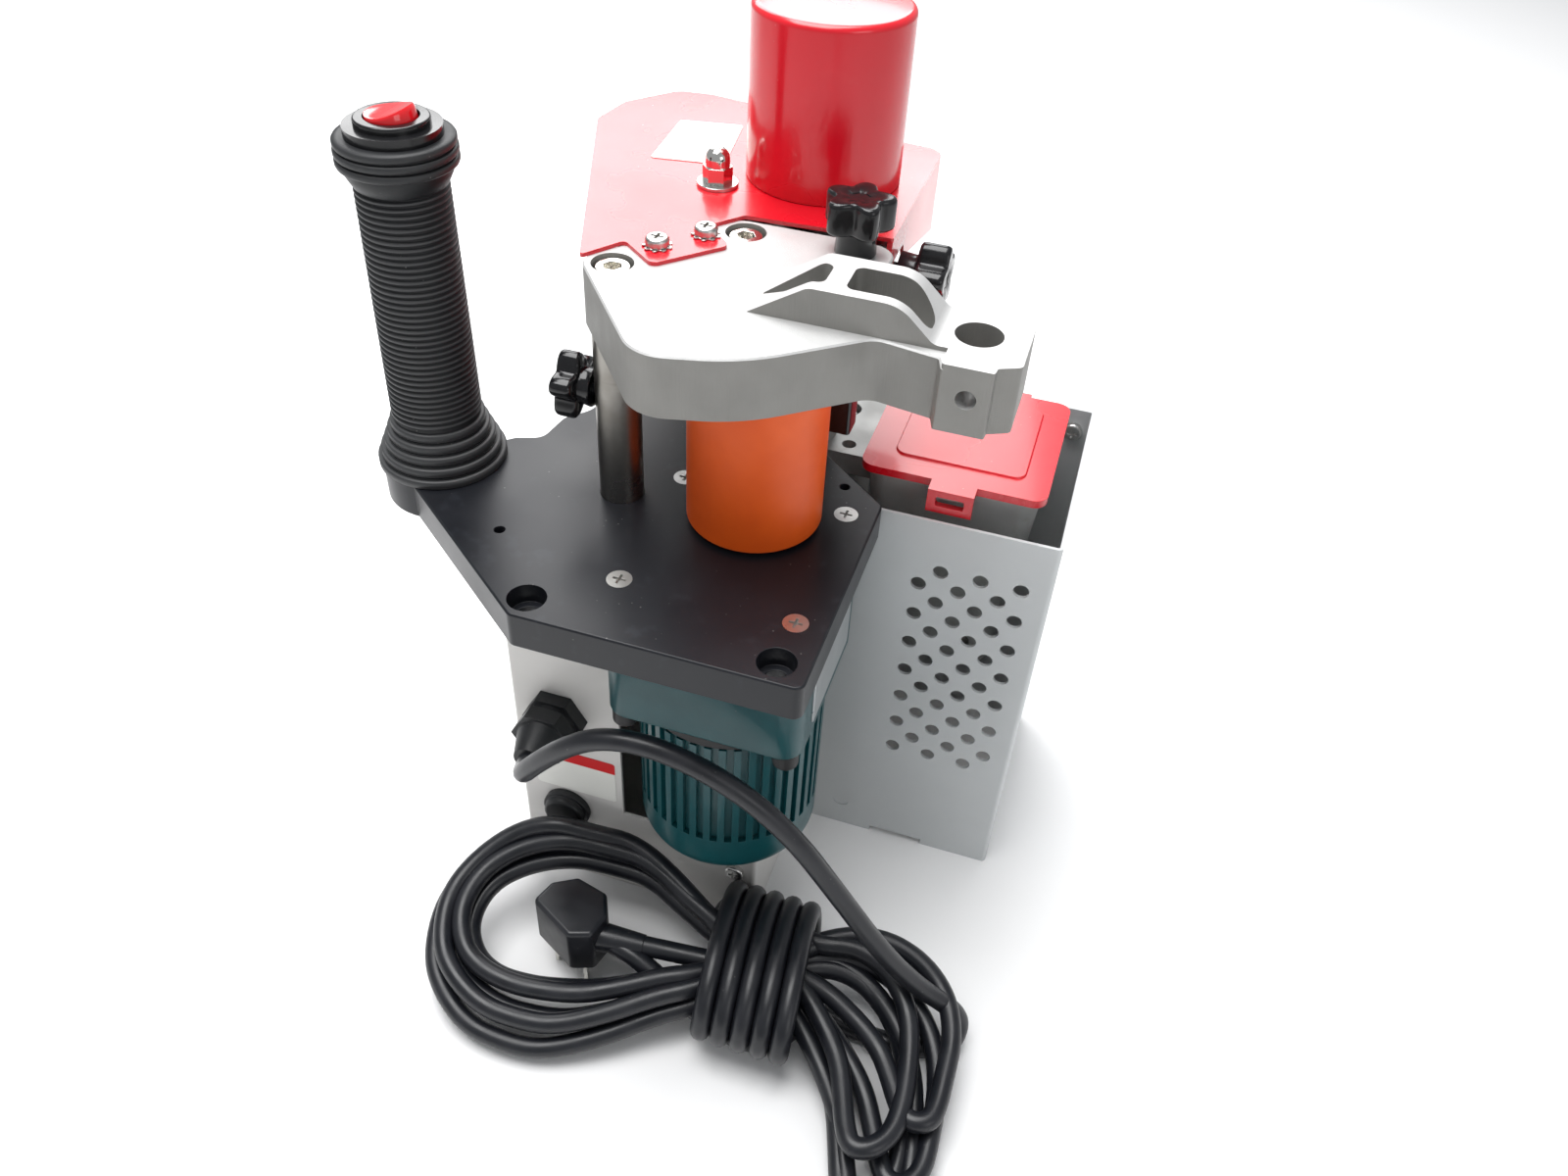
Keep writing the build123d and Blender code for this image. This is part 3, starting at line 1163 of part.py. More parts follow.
foot_radius = grip_foot_diameter / 2
waist_radius = grip_waist_diameter / 2
neck_radius = grip_neck_diameter / 2
crown_radius = grip_top_diameter / 2
ring_count = 38
ring_start = 22.0
ring_pitch = (handle_height - 20.0 - ring_start) / ring_count
ring_depth = 0.9
grip_top = handle_height - 3.0
outline = [(tube_radius, 0)]
for radius, top in ((foot_radius, 5), (foot_radius - 1.7, 9), (foot_radius - 3.5, 13),
                    (foot_radius - 5.2, 17), (foot_radius - 6.8, 21)):
    bottom = top - 4 if top > 5 else 0
    outline += [(radius, bottom), (radius, top - 0.8), (radius - 1.0, top - 0.8), (radius - 1.0, top)]
outline.append((waist_radius - ring_depth, ring_start - 1))
for ring in range(ring_count):
    crest = waist_radius + (neck_radius - waist_radius) * ring / ring_count
    foot = ring_start + ring * ring_pitch
    outline += [(crest - ring_depth, foot), (crest, foot + 0.5), (crest, foot + ring_pitch - 0.7),
                (crest - ring_depth, foot + ring_pitch - 0.3)]
collar = handle_height - 20
outline += [(neck_radius, collar), (17, collar + 2), (18.5, collar + 5.5), (18.5, collar + 7),
            (crown_radius, collar + 7.5), (crown_radius, collar + 10), (crown_radius - 1, collar + 10),
            (crown_radius - 1, collar + 10.8), (crown_radius, collar + 10.8), (crown_radius, collar + 13.3),
            (crown_radius - 1, collar + 13.3), (crown_radius - 1, collar + 14),
            (crown_radius - 0.7, collar + 14),
            (crown_radius - 0.7, grip_top - 0.5), (crown_radius - 1.2, grip_top), (tube_radius, grip_top)]
with BuildPart() as handle_grip:
    with BuildSketch(Plane(origin=(handle_axis[0], handle_axis[1], plate_top),
                           x_dir=(1, 0, 0), z_dir=(0, -1, 0))):
        with BuildLine():
            Polyline(*outline, close=True)
        make_face()
    revolve(axis=Axis((handle_axis[0], handle_axis[1], 0), (0, 0, 1)))
written(handle_grip.part, "handle_grip")

rocker_radius = rocker_diameter / 2 - 0.2
rocker_sphere = rocker_diameter / 2 + 0.1
bezel_bore = rocker_sphere + 0.3
pivot_height = plate_top + handle_height + 1.3
bezel_bottom = plate_top + grip_top
bezel_top = plate_top + handle_height + 3.0
pin_radius = 1.2
with BuildPart() as switch_bezel:
    with Locations(*at([handle_axis], bezel_bottom)):
        Cylinder(16.5, 3.5, align=upright)
    with Locations(*at([handle_axis], bezel_bottom + 3.5)):
        Cylinder(12.75, bezel_top - bezel_bottom - 3.5, align=upright)
    fillet(switch_bezel.faces().sort_by(Axis.Z)[-1].edges(), 0.8)
    with Locations(*at([handle_axis], bezel_bottom)):
        Cylinder(bezel_bore, 10, align=upright, mode=Mode.SUBTRACT)
    with BuildSketch(Plane.XZ.offset(-handle_axis[1] + 11.4)):
        with Locations((handle_axis[0], pivot_height)):
            Circle(pin_radius + fit)
    extrude(amount=-22.8, mode=Mode.SUBTRACT)
written(switch_bezel.part, "switch_bezel")

body_top = pivot_height - 5.2
with BuildPart() as switch_body:
    with Locations(*at([handle_axis], body_top - 32)):
        Cylinder(tube_radius - tube_wall - 0.4, 32 + bezel_bottom - body_top, align=upright)
    with Locations(*at([handle_axis], body_top)):
        Cylinder(bezel_bore, 5, align=upright, mode=Mode.SUBTRACT)
    with Locations(*at([handle_axis], body_top - 32)):
        Box(6, 0.8, 9, align=hanging)
written(switch_body.part, "switch_body")

with BuildPart() as rocker_switch:
    Cylinder(rocker_radius, 10, align=(Align.CENTER, Align.CENTER, Align.CENTER))
    Sphere(rocker_sphere, mode=Mode.INTERSECT)
    with Locations((0, 0, -3)):
        Box(30, 30, 10, align=hanging, mode=Mode.SUBTRACT)
    with Locations((0, 0, 3.8 + 20.8)):
        Cylinder(20.8, 40, rotation=(90, 0, 0), mode=Mode.SUBTRACT)
    Cylinder(pin_radius, 22.4, rotation=(90, 0, 0))
rocker = Pos(handle_axis[0], handle_axis[1], pivot_height) * Rot(0, -rocker_swing, 0) * rocker_switch.part
written(rocker, "rocker_switch")

# ---------------------------------------------------------------- cord, hank and plug
cord_points = (
    (gland_place[0], gland_end + 10, gland_place[1]),
    (gland_place[0], gland_end - 9, gland_place[1]),
    (-59.5, -63, 124), (-46, -63.5, 140), (-30, -62, 152), (-6, -60, 158), (24, -58, 154),
    (53, -56, 133), (74, -54, 94), (98, -51, 48), (117, -50, 12),
)


def bend_radii(points):
    """Bend radius at each inner point: as wide as the shorter run beside it allows."""
    radii = []
    for before, here, after in zip(points, points[1:], points[2:]):
        back = Vector(*before) - Vector(*here)
        ahead = Vector(*after) - Vector(*here)
        half_turn = (180 - back.get_angle(ahead)) / 2
        radii.append(0.45 * min(back.length, ahead.length) / tan(radians(half_turn)))
    return radii


cord_radii = bend_radii(cord_points)
with BuildPart() as power_cord:
    with BuildLine():
        route = FilletPolyline(*cord_points, radius=cord_radii)
    with BuildSketch(Plane(origin=cord_points[0], z_dir=(0, -1, 0))):
        Circle(cord_radius)
    sweep(path=route)
written(power_cord.part, "power_cord")
print("cord bend radii", [round(r, 1) for r in cord_radii])
print("cord volume", round(power_cord.part.volume), "of", round(route.length * pi * cord_radius**2))

with BuildPart() as plug:
    with BuildSketch(Plane.XY.offset(18)):
        with BuildLine():
            FilletPolyline((-64.5, -69), (-43, -80.5), (-33.5, -77), (-31, -66), (-36, -55.5),
                           (-51, -51.8), (-61, -58), radius=[3, 3, 3, 3, 3, 3, 3], close=True)
        make_face()
    extrude(amount=25)
    fillet(plug.faces().sort_by(Axis.Z)[-1].edges(), 2)
    lead_line = Line((-35, -69.5, 31), (14, -64, 30))
    with BuildSketch(Plane(origin=(-35, -69.5, 31), z_dir=lead_line % 0)):
        Circle(6.5)
    extrude(amount=21, taper=5)
    with BuildSketch(Plane(origin=(-35, -69.5, 31), z_dir=lead_line % 0)):
        Circle(cord_radius)
    extrude(amount=lead_line.length)
    with Locations((-57, -66, 16), (-40, -72.5, 16), (-45, -58.5, 16)):
        Box(1.6, 6.4, 8, rotation=(0, 0, 20), align=upright, mode=Mode.SUBTRACT)
written(plug.part, "plug")

with BuildPart() as plug_pins:
    with Locations((-57, -66, 0), (-40, -72.5, 0), (-45, -58.5, 0)):
        Box(1.6, 6.4, 24, rotation=(0, 0, 20), align=upright)
written(plug_pins.part, "plug_pins")

lean = radians(20)
hank_plane = Plane(origin=(0, -115, 8), x_dir=(1, 0, 0), z_dir=(0, -sin(lean), cos(lean)))
outer_loop = ((10, -42), (-20, -31), (-45, -29), (-58, -32), (-82, -33), (-98, -47), (-108, -75),
              (-100, -104),
              (-76, -117), (-45, -117), (-10, -101), (14, -88))
inner_loop = ((10, -43), (-28, -43), (-55, -48), (-78, -53), (-87, -60), (-86, -75), (-77, -86), (-60, -88),
              (-38, -81), (-12, -72))
with BuildPart() as cord_hank:
    with BuildSketch(hank_plane):
        Polygon(*[(x, (y + 115) / cos(lean)) for x, y in outer_loop], align=None)
        Polygon(*[(x, (y + 115) / cos(lean)) for x, y in inner_loop[1:]], align=None, mode=Mode.SUBTRACT)
    extrude(amount=7, both=True)
    with BuildSketch(Plane.YZ.offset(8)):
        with Locations((-55, 21.2)):
            Ellipse(35, 21)
    extrude(amount=50)
    with BuildSketch():
        Polygon((44, -18), (62, -28), (80, -40), (95, -50), (121, -44), (127, -50), (126, -75), (121, -95),
                (120, -120), (112, -150), (98, -146), (101, -123), (89, -110), (76, -97), (60, -86),
                (44, -84),
                align=None)
    extrude(amount=24)
    add(plug.part, mode=Mode.SUBTRACT)
    add(power_cord.part, mode=Mode.SUBTRACT)
written(cord_hank.part, "cord_hank")
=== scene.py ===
"""Looks of the portable edge banding machine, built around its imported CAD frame."""
from __future__ import annotations

import json
import logging
import math
from dataclasses import dataclass, field
from enum import Enum

import bmesh
import bpy
import numpy as np
from mathutils import Matrix, Vector

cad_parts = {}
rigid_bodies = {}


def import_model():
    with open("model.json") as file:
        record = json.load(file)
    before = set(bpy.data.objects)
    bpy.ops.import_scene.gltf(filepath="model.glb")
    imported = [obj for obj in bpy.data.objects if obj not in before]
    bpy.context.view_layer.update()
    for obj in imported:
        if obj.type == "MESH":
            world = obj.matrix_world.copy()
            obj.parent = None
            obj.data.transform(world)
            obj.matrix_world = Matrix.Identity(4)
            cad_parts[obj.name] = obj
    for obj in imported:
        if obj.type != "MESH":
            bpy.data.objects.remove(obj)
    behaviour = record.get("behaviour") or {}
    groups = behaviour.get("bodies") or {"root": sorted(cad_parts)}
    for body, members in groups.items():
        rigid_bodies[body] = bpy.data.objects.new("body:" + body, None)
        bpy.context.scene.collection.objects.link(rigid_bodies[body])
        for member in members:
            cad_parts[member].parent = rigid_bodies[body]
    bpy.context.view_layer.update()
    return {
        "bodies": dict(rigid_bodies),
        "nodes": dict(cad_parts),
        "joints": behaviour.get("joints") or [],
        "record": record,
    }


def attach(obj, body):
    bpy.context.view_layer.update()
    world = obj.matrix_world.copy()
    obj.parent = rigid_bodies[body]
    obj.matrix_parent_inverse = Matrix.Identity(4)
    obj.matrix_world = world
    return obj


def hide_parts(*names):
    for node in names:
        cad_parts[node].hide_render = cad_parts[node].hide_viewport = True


LOG = logging.getLogger("edge_bander")
MM = 0.001
SMOOTH_ANGLE = math.radians(38)


class Direction(Enum):
    """Which way drawn or turned lines run over a surface, in object axes."""

    NONE = (1.0, 1.0, 1.0)
    ALONG_Y = (1.0, 0.03, 1.0)
    ALONG_Z = (1.0, 1.0, 0.03)
    AROUND_Z = (0.06, 0.06, 1.0)


@dataclass(frozen=True)
class Finish:
    """One surface finish: two tones, gloss, fine grain, scuffs and dust."""

    name: str
    tone: tuple[float, float, float]
    deep: tuple[float, float, float]
    rough: tuple[float, float] = (0.35, 0.5)
    metallic: float = 0.0
    grain: float = 900.0
    relief: float = 0.1
    depth: float = 0.0002
    patches: float = 30.0
    direction: Direction = Direction.NONE
    scuffs: float = 0.0
    scuff_tone: tuple[float, float, float] = (0.5, 0.5, 0.5)
    dust: float = 0.0
    coat: float = 0.0
    specular: float = 0.5


FINISHES = {
    "black_plate": Finish("black anodised plate", (0.008, 0.009, 0.012), (0.012, 0.013, 0.017), (0.30, 0.42),
                          grain=2600, relief=0.05, patches=22, scuffs=0.10, scuff_tone=(0.08, 0.09, 0.11),
                          dust=0.25, specular=0.35),
    "zinc": Finish("zinc plate", (0.66, 0.66, 0.65), (0.50, 0.49, 0.46), (0.22, 0.38), 1.0, grain=2500,
                   relief=0.12, scuffs=0.2, scuff_tone=(0.30, 0.28, 0.25)),
    "black_steel": Finish("black oxide steel", (0.012, 0.012, 0.013), (0.022, 0.022, 0.023), (0.38, 0.55),
                          grain=1800, specular=0.35),
    "green_paint": Finish("teal stoved enamel", (0.003, 0.070, 0.080), (0.002, 0.052, 0.061), (0.28, 0.42),
                          grain=700, relief=0.10, patches=40, coat=0.15, dust=0.15, scuffs=0.05,
                          scuff_tone=(0.03, 0.14, 0.15), specular=0.4),
    "laminations": Finish("varnished laminations", (0.13, 0.13, 0.14), (0.08, 0.08, 0.09), (0.4, 0.55), 0.8,
                          grain=3000, direction=Direction.AROUND_Z, relief=0.3),
    "copper_wire": Finish("enamelled copper", (0.45, 0.17, 0.06), (0.30, 0.10, 0.03), (0.3, 0.45), 0.8,
                          grain=2500, relief=0.4),
    "bearing_steel": Finish("ground steel", (0.58, 0.58, 0.58), (0.48, 0.48, 0.48), (0.18, 0.3), 1.0,
                            grain=2500),
    "nameplate": Finish("brushed blank plate", (0.55, 0.57, 0.58), (0.48, 0.50, 0.51), (0.25, 0.38), 0.8,
                        grain=2600, direction=Direction.ALONG_Y, relief=0.1),
    "machined_aluminium": Finish("turned aluminium", (0.70, 0.71, 0.72), (0.60, 0.61, 0.62), (0.24, 0.36),
                                 1.0, grain=2600, direction=Direction.AROUND_Z),
    "orange_rubber": Finish("orange silicone", (0.86, 0.115, 0.008), (0.78, 0.095, 0.006), (0.36, 0.48),
                            grain=1300, relief=0.08, patches=45, dust=0.06, specular=0.4),
    "dull_steel": Finish("dull turned steel", (0.36, 0.345, 0.32), (0.24, 0.225, 0.20), (0.26, 0.40), 1.0,
                         grain=2800, direction=Direction.AROUND_Z, relief=0.15, patches=60, scuffs=0.3,
                         scuff_tone=(0.16, 0.14, 0.12)),
    "nickel": Finish("bright nickel", (0.74, 0.73, 0.69), (0.64, 0.62, 0.57), (0.10, 0.22), 1.0, grain=1800,
                     relief=0.05),
    "cast_aluminium": Finish("fine cast aluminium", (0.60, 0.60, 0.595), (0.55, 0.55, 0.545), (0.50, 0.62),
                             0.55, grain=2300, relief=0.55, patches=90, direction=Direction.ALONG_Z,
                             scuffs=0.10, scuff_tone=(0.70, 0.70, 0.70)),
    "black_plastic": Finish("glossy black moulding", (0.006, 0.006, 0.007), (0.010, 0.010, 0.011),
                            (0.12, 0.24), grain=1100, relief=0.06, dust=0.10, specular=0.45),
    "bronze": Finish("sintered bronze", (0.50, 0.30, 0.12), (0.40, 0.22, 0.08), (0.4, 0.55), 0.9, grain=2500,
                     relief=0.3),
    "red_paint": Finish("gloss red enamel", (0.66, 0.006, 0.018), (0.60, 0.005, 0.014), (0.20, 0.32),
                        grain=420, relief=0.06, patches=18, coat=0.35, dust=0.10, scuffs=0.03,
                        scuff_tone=(0.8, 0.12, 0.11)),
    "sticker": Finish("blank film", (0.82, 0.82, 0.78), (0.79, 0.79, 0.74), (0.25, 0.35), grain=900,
                      relief=0.04),
    "pot_grey": Finish("bare light casting", (0.46, 0.47, 0.46), (0.38, 0.39, 0.38), (0.45, 0.60), 0.4,
                       grain=1500, relief=0.35, patches=40, scuffs=0.3, scuff_tone=(0.30, 0.28, 0.24)),
    "grey_guard": Finish("silver-grey powder coat", (0.56, 0.58, 0.585), (0.52, 0.54, 0.545), (0.36, 0.48),
                         0.15, grain=2200, relief=0.16, patches=14, dust=0.06, scuffs=0.04,
                         scuff_tone=(0.40, 0.40, 0.40)),
    "warm_grey": Finish("off-white powder coat", (0.68, 0.665, 0.64), (0.64, 0.625, 0.60), (0.35, 0.48),
                        grain=2200, relief=0.16, patches=12, dust=0.06, scuffs=0.05,
                        scuff_tone=(0.50, 0.47, 0.43)),
    "board_green": Finish("circuit board", (0.02, 0.14, 0.05), (0.015, 0.10, 0.035), (0.3, 0.4)),
    "black_rubber": Finish("moulded black rubber", (0.008, 0.009, 0.010), (0.014, 0.015, 0.017),
                           (0.40, 0.56), grain=1500, relief=0.18, dust=0.25, patches=60, specular=0.4),
    "red_plastic": Finish("clear red moulding", (0.75, 0.010, 0.016), (0.62, 0.007, 0.012), (0.08, 0.16),
                          grain=700, relief=0.03, coat=0.5),
    "cord_black": Finish("glossy cord sheath", (0.006, 0.007, 0.010), (0.010, 0.011, 0.015), (0.30, 0.44),
                         grain=800, relief=0.08, patches=90, dust=0.12, specular=0.5),
}


class NodeWriter:
    """Adds nodes to one tree and joins them, left to right."""

    def __init__(self, tree: bpy.types.NodeTree) -> None:
        """Keeps the tree and starts at its left edge."""
        self.tree = tree
        self.column = 0

    def add(self, kind: str, **values: object) -> bpy.types.Node:
        """Adds one node.

        Args:
            kind: the node's type name without the ShaderNode prefix.
            values: attributes of the node, set as they are.

        Returns:
            The new node.
        """
        node = self.tree.nodes.new("ShaderNode" + kind)
        node.location = (self.column * 180, 0)
        self.column += 1
        for name, value in values.items():
            setattr(node, name, value)
        return node

    def join(self, source: bpy.types.NodeSocket, target: bpy.types.NodeSocket) -> None:
        """Links an output socket to an input socket."""
        self.tree.links.new(source, target)

    def noise(self, place: bpy.types.NodeSocket, scale: float | bpy.types.NodeSocket,
              detail: float = 3.0) -> bpy.types.NodeSocket:
        """Adds a noise texture and gives its value output."""
        node = self.add("TexNoise")
        node.inputs["Detail"].default_value = detail
        self.join(place, node.inputs["Vector"])
        self.feed(scale, node.inputs["Scale"])
        return node.outputs["Fac"]

    def feed(self, value: object, socket: bpy.types.NodeSocket) -> None:
        """Sets a socket, or links it where the value is itself a socket."""
        if isinstance(value, bpy.types.NodeSocket):
            self.join(value, socket)
        else:
            socket.default_value = value

    def maths(self, operation: str, first: object, second: object = 0.0) -> bpy.types.NodeSocket:
        """Adds a Math node and gives its value."""
        node = self.add("Math", operation=operation)
        self.feed(first, node.inputs[0])
        self.feed(second, node.inputs[1])
        return node.outputs[0]

    def ramp(self, value: bpy.types.NodeSocket, low: float, high: float, start: object = 0.0,
             end: object = 1.0) -> bpy.types.NodeSocket:
        """Maps low..high onto start..end, clamped."""
        node = self.add("MapRange", clamp=True)
        self.join(value, node.inputs["Value"])
        node.inputs["From Min"].default_value = low
        node.inputs["From Max"].default_value = high
        self.feed(start, node.inputs["To Min"])
        self.feed(end, node.inputs["To Max"])
        return node.outputs["Result"]

    def blend(self, share: object, first: object, second: object) -> bpy.types.NodeSocket:
        """Mixes two colours by a share from 0 to 1."""
        node = self.add("Mix", data_type="RGBA")
        self.feed(share, node.inputs[0])
        self.feed(first, node.inputs[6])
        self.feed(second, node.inputs[7])
        return node.outputs[2]


def rgba(tone: tuple[float, float, float]) -> tuple[float, float, float, float]:
    """The tone with full alpha."""
    return (*tone, 1.0)


class SurfaceEffect:
    """The shared effect group: tone patches, fine grain, scuffs and dust specks."""

    NAME = "worn surface"
    COLOURS = ("Tone", "Deep", "Scuff Tone")
    NUMBERS = ("Grain", "Patches", "Rough Low", "Rough High", "Scuffs", "Dust")

    def build(self) -> bpy.types.NodeTree:
        """Makes the group once.

        Returns:
            The group: its outputs are Colour, Roughness and Height.
        """
        tree = bpy.data.node_groups.new(self.NAME, "ShaderNodeTree")
        tree.interface.new_socket("Place", in_out="INPUT", socket_type="NodeSocketVector")
        tree.interface.new_socket("Drawn", in_out="INPUT", socket_type="NodeSocketVector")
        for name in self.COLOURS:
            tree.interface.new_socket(name, in_out="INPUT", socket_type="NodeSocketColor")
        for name in self.NUMBERS:
            tree.interface.new_socket(name, in_out="INPUT", socket_type="NodeSocketFloat")
        tree.interface.new_socket("Colour", in_out="OUTPUT", socket_type="NodeSocketColor")
        tree.interface.new_socket("Roughness", in_out="OUTPUT", socket_type="NodeSocketFloat")
        tree.interface.new_socket("Height", in_out="OUTPUT", socket_type="NodeSocketFloat")
        write = NodeWriter(tree)
        start = tree.nodes.new("NodeGroupInput")
        end = tree.nodes.new("NodeGroupOutput")
        place, drawn = start.outputs["Place"], start.outputs["Drawn"]
        patches = write.noise(place, start.outputs["Patches"], 4.0)
        fine = write.noise(drawn, start.outputs["Grain"], 2.0)
        blotch = write.ramp(patches, 0.35, 0.68)
        colour = write.blend(blotch, start.outputs["Tone"], start.outputs["Deep"])
        rub = write.noise(drawn, write.maths("MULTIPLY", start.outputs["Patches"], 5.0), 6.0)
        rub_mask = write.maths("MULTIPLY", write.ramp(rub, 0.60, 0.72), start.outputs["Scuffs"])
        colour = write.blend(rub_mask, colour, start.outputs["Scuff Tone"])
        specks = write.add("TexVoronoi", feature="F1")
        write.join(place, specks.inputs["Vector"])
        specks.inputs["Scale"].default_value = 260.0
        spot = write.ramp(specks.outputs["Distance"], 0.10, 0.05)
        thin = write.ramp(write.noise(place, 70.0, 2.0), 0.52, 0.62)
        dust = write.maths("MULTIPLY", write.maths("MULTIPLY", spot, thin), start.outputs["Dust"])
        colour = write.blend(dust, colour, (0.45, 0.44, 0.42, 1.0))
        rough = write.ramp(patches, 0.3, 0.7, start.outputs["Rough Low"], start.outputs["Rough High"])
        rough = write.maths("ADD", rough, write.maths("MULTIPLY", rub_mask, 0.12))
        rough = write.maths("ADD", rough, write.maths("MULTIPLY", dust, 0.3))
        write.join(colour, end.inputs["Colour"])
        write.join(rough, end.inputs["Roughness"])
        write.join(fine, end.inputs["Height"])
        return tree


class MaterialShop:
    """Makes each finish's material once, around the shared effect group."""

    def __init__(self) -> None:
        """Builds the shared group."""
        self.effect = SurfaceEffect().build()
        self.made: dict[str, bpy.types.Material] = {}

    def dress(self, name: str, finish: Finish) -> tuple[
            bpy.types.Material, NodeWriter, bpy.types.Node, bpy.types.Node]:
        """Starts a material from a finish.

        Args:
            name: the material's name.
            finish: its tones and gloss.

        Returns:
            The material, its writer, its effect node and its Principled shader.
        """
        material = bpy.data.materials.new(name)
        material.use_nodes = True
        tree = material.node_tree
        write = NodeWriter(tree)
        shader = tree.nodes["Principled BSDF"]
        place = write.add("TexCoord").outputs["Object"]
        stretch = write.add("Mapping", vector_type="POINT")
        write.join(place, stretch.inputs["Vector"])
        stretch.inputs["Scale"].default_value = finish.direction.value
        effect = write.add("Group", node_tree=self.effect)
        write.join(place, effect.inputs["Place"])
        write.join(stretch.outputs["Vector"], effect.inputs["Drawn"])
        effect.inputs["Tone"].default_value = rgba(finish.tone)
        effect.inputs["Deep"].default_value = rgba(finish.deep)
        effect.inputs["Scuff Tone"].default_value = rgba(finish.scuff_tone)
        effect.inputs["Grain"].default_value = finish.grain
        effect.inputs["Patches"].default_value = finish.patches
        effect.inputs["Rough Low"].default_value, effect.inputs["Rough High"].default_value = finish.rough
        effect.inputs["Scuffs"].default_value = finish.scuffs
        effect.inputs["Dust"].default_value = finish.dust
        bump = write.add("Bump")
        bump.inputs["Strength"].default_value = finish.relief
        bump.inputs["Distance"].default_value = finish.depth
        write.join(effect.outputs["Height"], bump.inputs["Height"])
        write.join(effect.outputs["Colour"], shader.inputs["Base Color"])
        write.join(effect.outputs["Roughness"], shader.inputs["Roughness"])
        write.join(bump.outputs["Normal"], shader.inputs["Normal"])
        shader.inputs["Metallic"].default_value = finish.metallic
        shader.inputs["Coat Weight"].default_value = finish.coat
        shader.inputs["Coat Roughness"].default_value = 0.08
        shader.inputs["Specular IOR Level"].default_value = finish.specular
        return material, write, effect, shader

    def get(self, slot: str) -> bpy.types.Material:
        """The material of one slot, made at its first use."""
        if slot not in self.made:
            self.made[slot] = self.dress(slot, FINISHES[slot])[0]
        return self.made[slot]

    def banded(self, slot: str, attribute: str, tone: tuple[float, float, float],
               name: str) -> bpy.types.Material:
        """A slot's material with a second tone where a point attribute is 1.

        Args:
            slot: the slot whose finish is the ground.
            attribute: the mesh attribute, from 0 to 1.
            tone: the second tone.
            name: the new material's name.

        Returns:
            The material.
        """
        if name in self.made:
            return self.made[name]
        material, write, effect, shader = self.dress(name, FINISHES[slot])
        mask = write.add("Attribute", attribute_name=attribute).outputs["Fac"]
        colour = write.blend(mask, effect.outputs["Colour"], rgba(tone))
        write.join(colour, shader.inputs["Base Color"])
        self.made[name] = material
        return material


def grid_faces(rows: int, columns: int, wrap_rows: bool = False, wrap_columns: bool = False) -> np.ndarray:
    """Quads of a rows x columns grid of points, numbered row by row.

    Args:
        rows: points along the first parameter.
        columns: points along the second parameter.
        wrap_rows: joins the last row to the first.
        wrap_columns: joins the last column to the first.

    Returns:
        An (n, 4) array of point numbers.
    """
    i = np.arange(rows if wrap_rows else rows - 1)
    j = np.arange(columns if wrap_columns else columns - 1)
    i, j = (a.ravel() for a in np.meshgrid(i, j, indexing="ij"))
    i_next, j_next = (i + 1) % rows, (j + 1) % columns
    return np.stack([i * columns + j, i * columns + j_next,
                     i_next * columns + j_next, i_next * columns + j], axis=1)


def make_mesh(name: str, points: np.ndarray, faces: list, smooth: float = SMOOTH_ANGLE) -> bpy.types.Object:
    """Puts points and faces into a new object at the origin, with doubles merged and faces outwards.

    Args:
        name: the piece's name.
        points: (n, 3) places in metres.
        faces: lists of point numbers.
        smooth: the angle past which an edge stays sharp.

    Returns:
        The object, linked to the scene.
    """
    mesh = bpy.data.meshes.new(name)
    mesh.from_pydata(points.tolist(), [], [list(map(int, f)) for f in faces])
    work = bmesh.new()
    work.from_mesh(mesh)
    bmesh.ops.remove_doubles(work, verts=work.verts, dist=1e-6)
    bmesh.ops.recalc_face_normals(work, faces=work.faces)
    work.to_mesh(mesh)
    work.free()
    mesh.shade_smooth()
    mesh.set_sharp_from_angle(angle=smooth)
    piece = bpy.data.objects.new(name, mesh)
    bpy.context.collection.objects.link(piece)
    return piece


def lathe(profile: np.ndarray, segments: int = 96) -> tuple[np.ndarray, np.ndarray]:
    """Turns a closed (radius, height) outline about Z: x = r cos t, y = r sin t, z = h.

    Args:
        profile: (n, 2) outline, in order, closed by its first point.
        segments: steps round the axis.

    Returns:
        Points and quads.
    """
    turn = np.linspace(0, 2 * np.pi, segments, endpoint=False)
    r, h = profile[:, 0][:, None], profile[:, 1][:, None]
    points = np.stack([r * np.cos(turn), r * np.sin(turn), h + 0 * turn], axis=-1).reshape(-1, 3)
    return points, grid_faces(len(profile), segments, wrap_rows=True, wrap_columns=True)


def finish_piece(piece: bpy.types.Object, body: str, slot: str, material: bpy.types.Material,
                 *replaced: str) -> bpy.types.Object:
    """Dresses a piece, rides it on its body and hides the CAD nodes it stands for.

    Args:
        piece: the new piece.
        body: the CAD body it moves with.
        slot: the record's material slot; not used.
        material: its material.
        replaced: CAD nodes it stands for.

    Returns:
        The same piece.
    """
    piece.data.materials.clear()
    piece.data.materials.append(material)
    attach(piece, body)
    if replaced:
        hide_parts(*replaced)
    LOG.info("%s rides on %s", piece.name, body)
    return piece


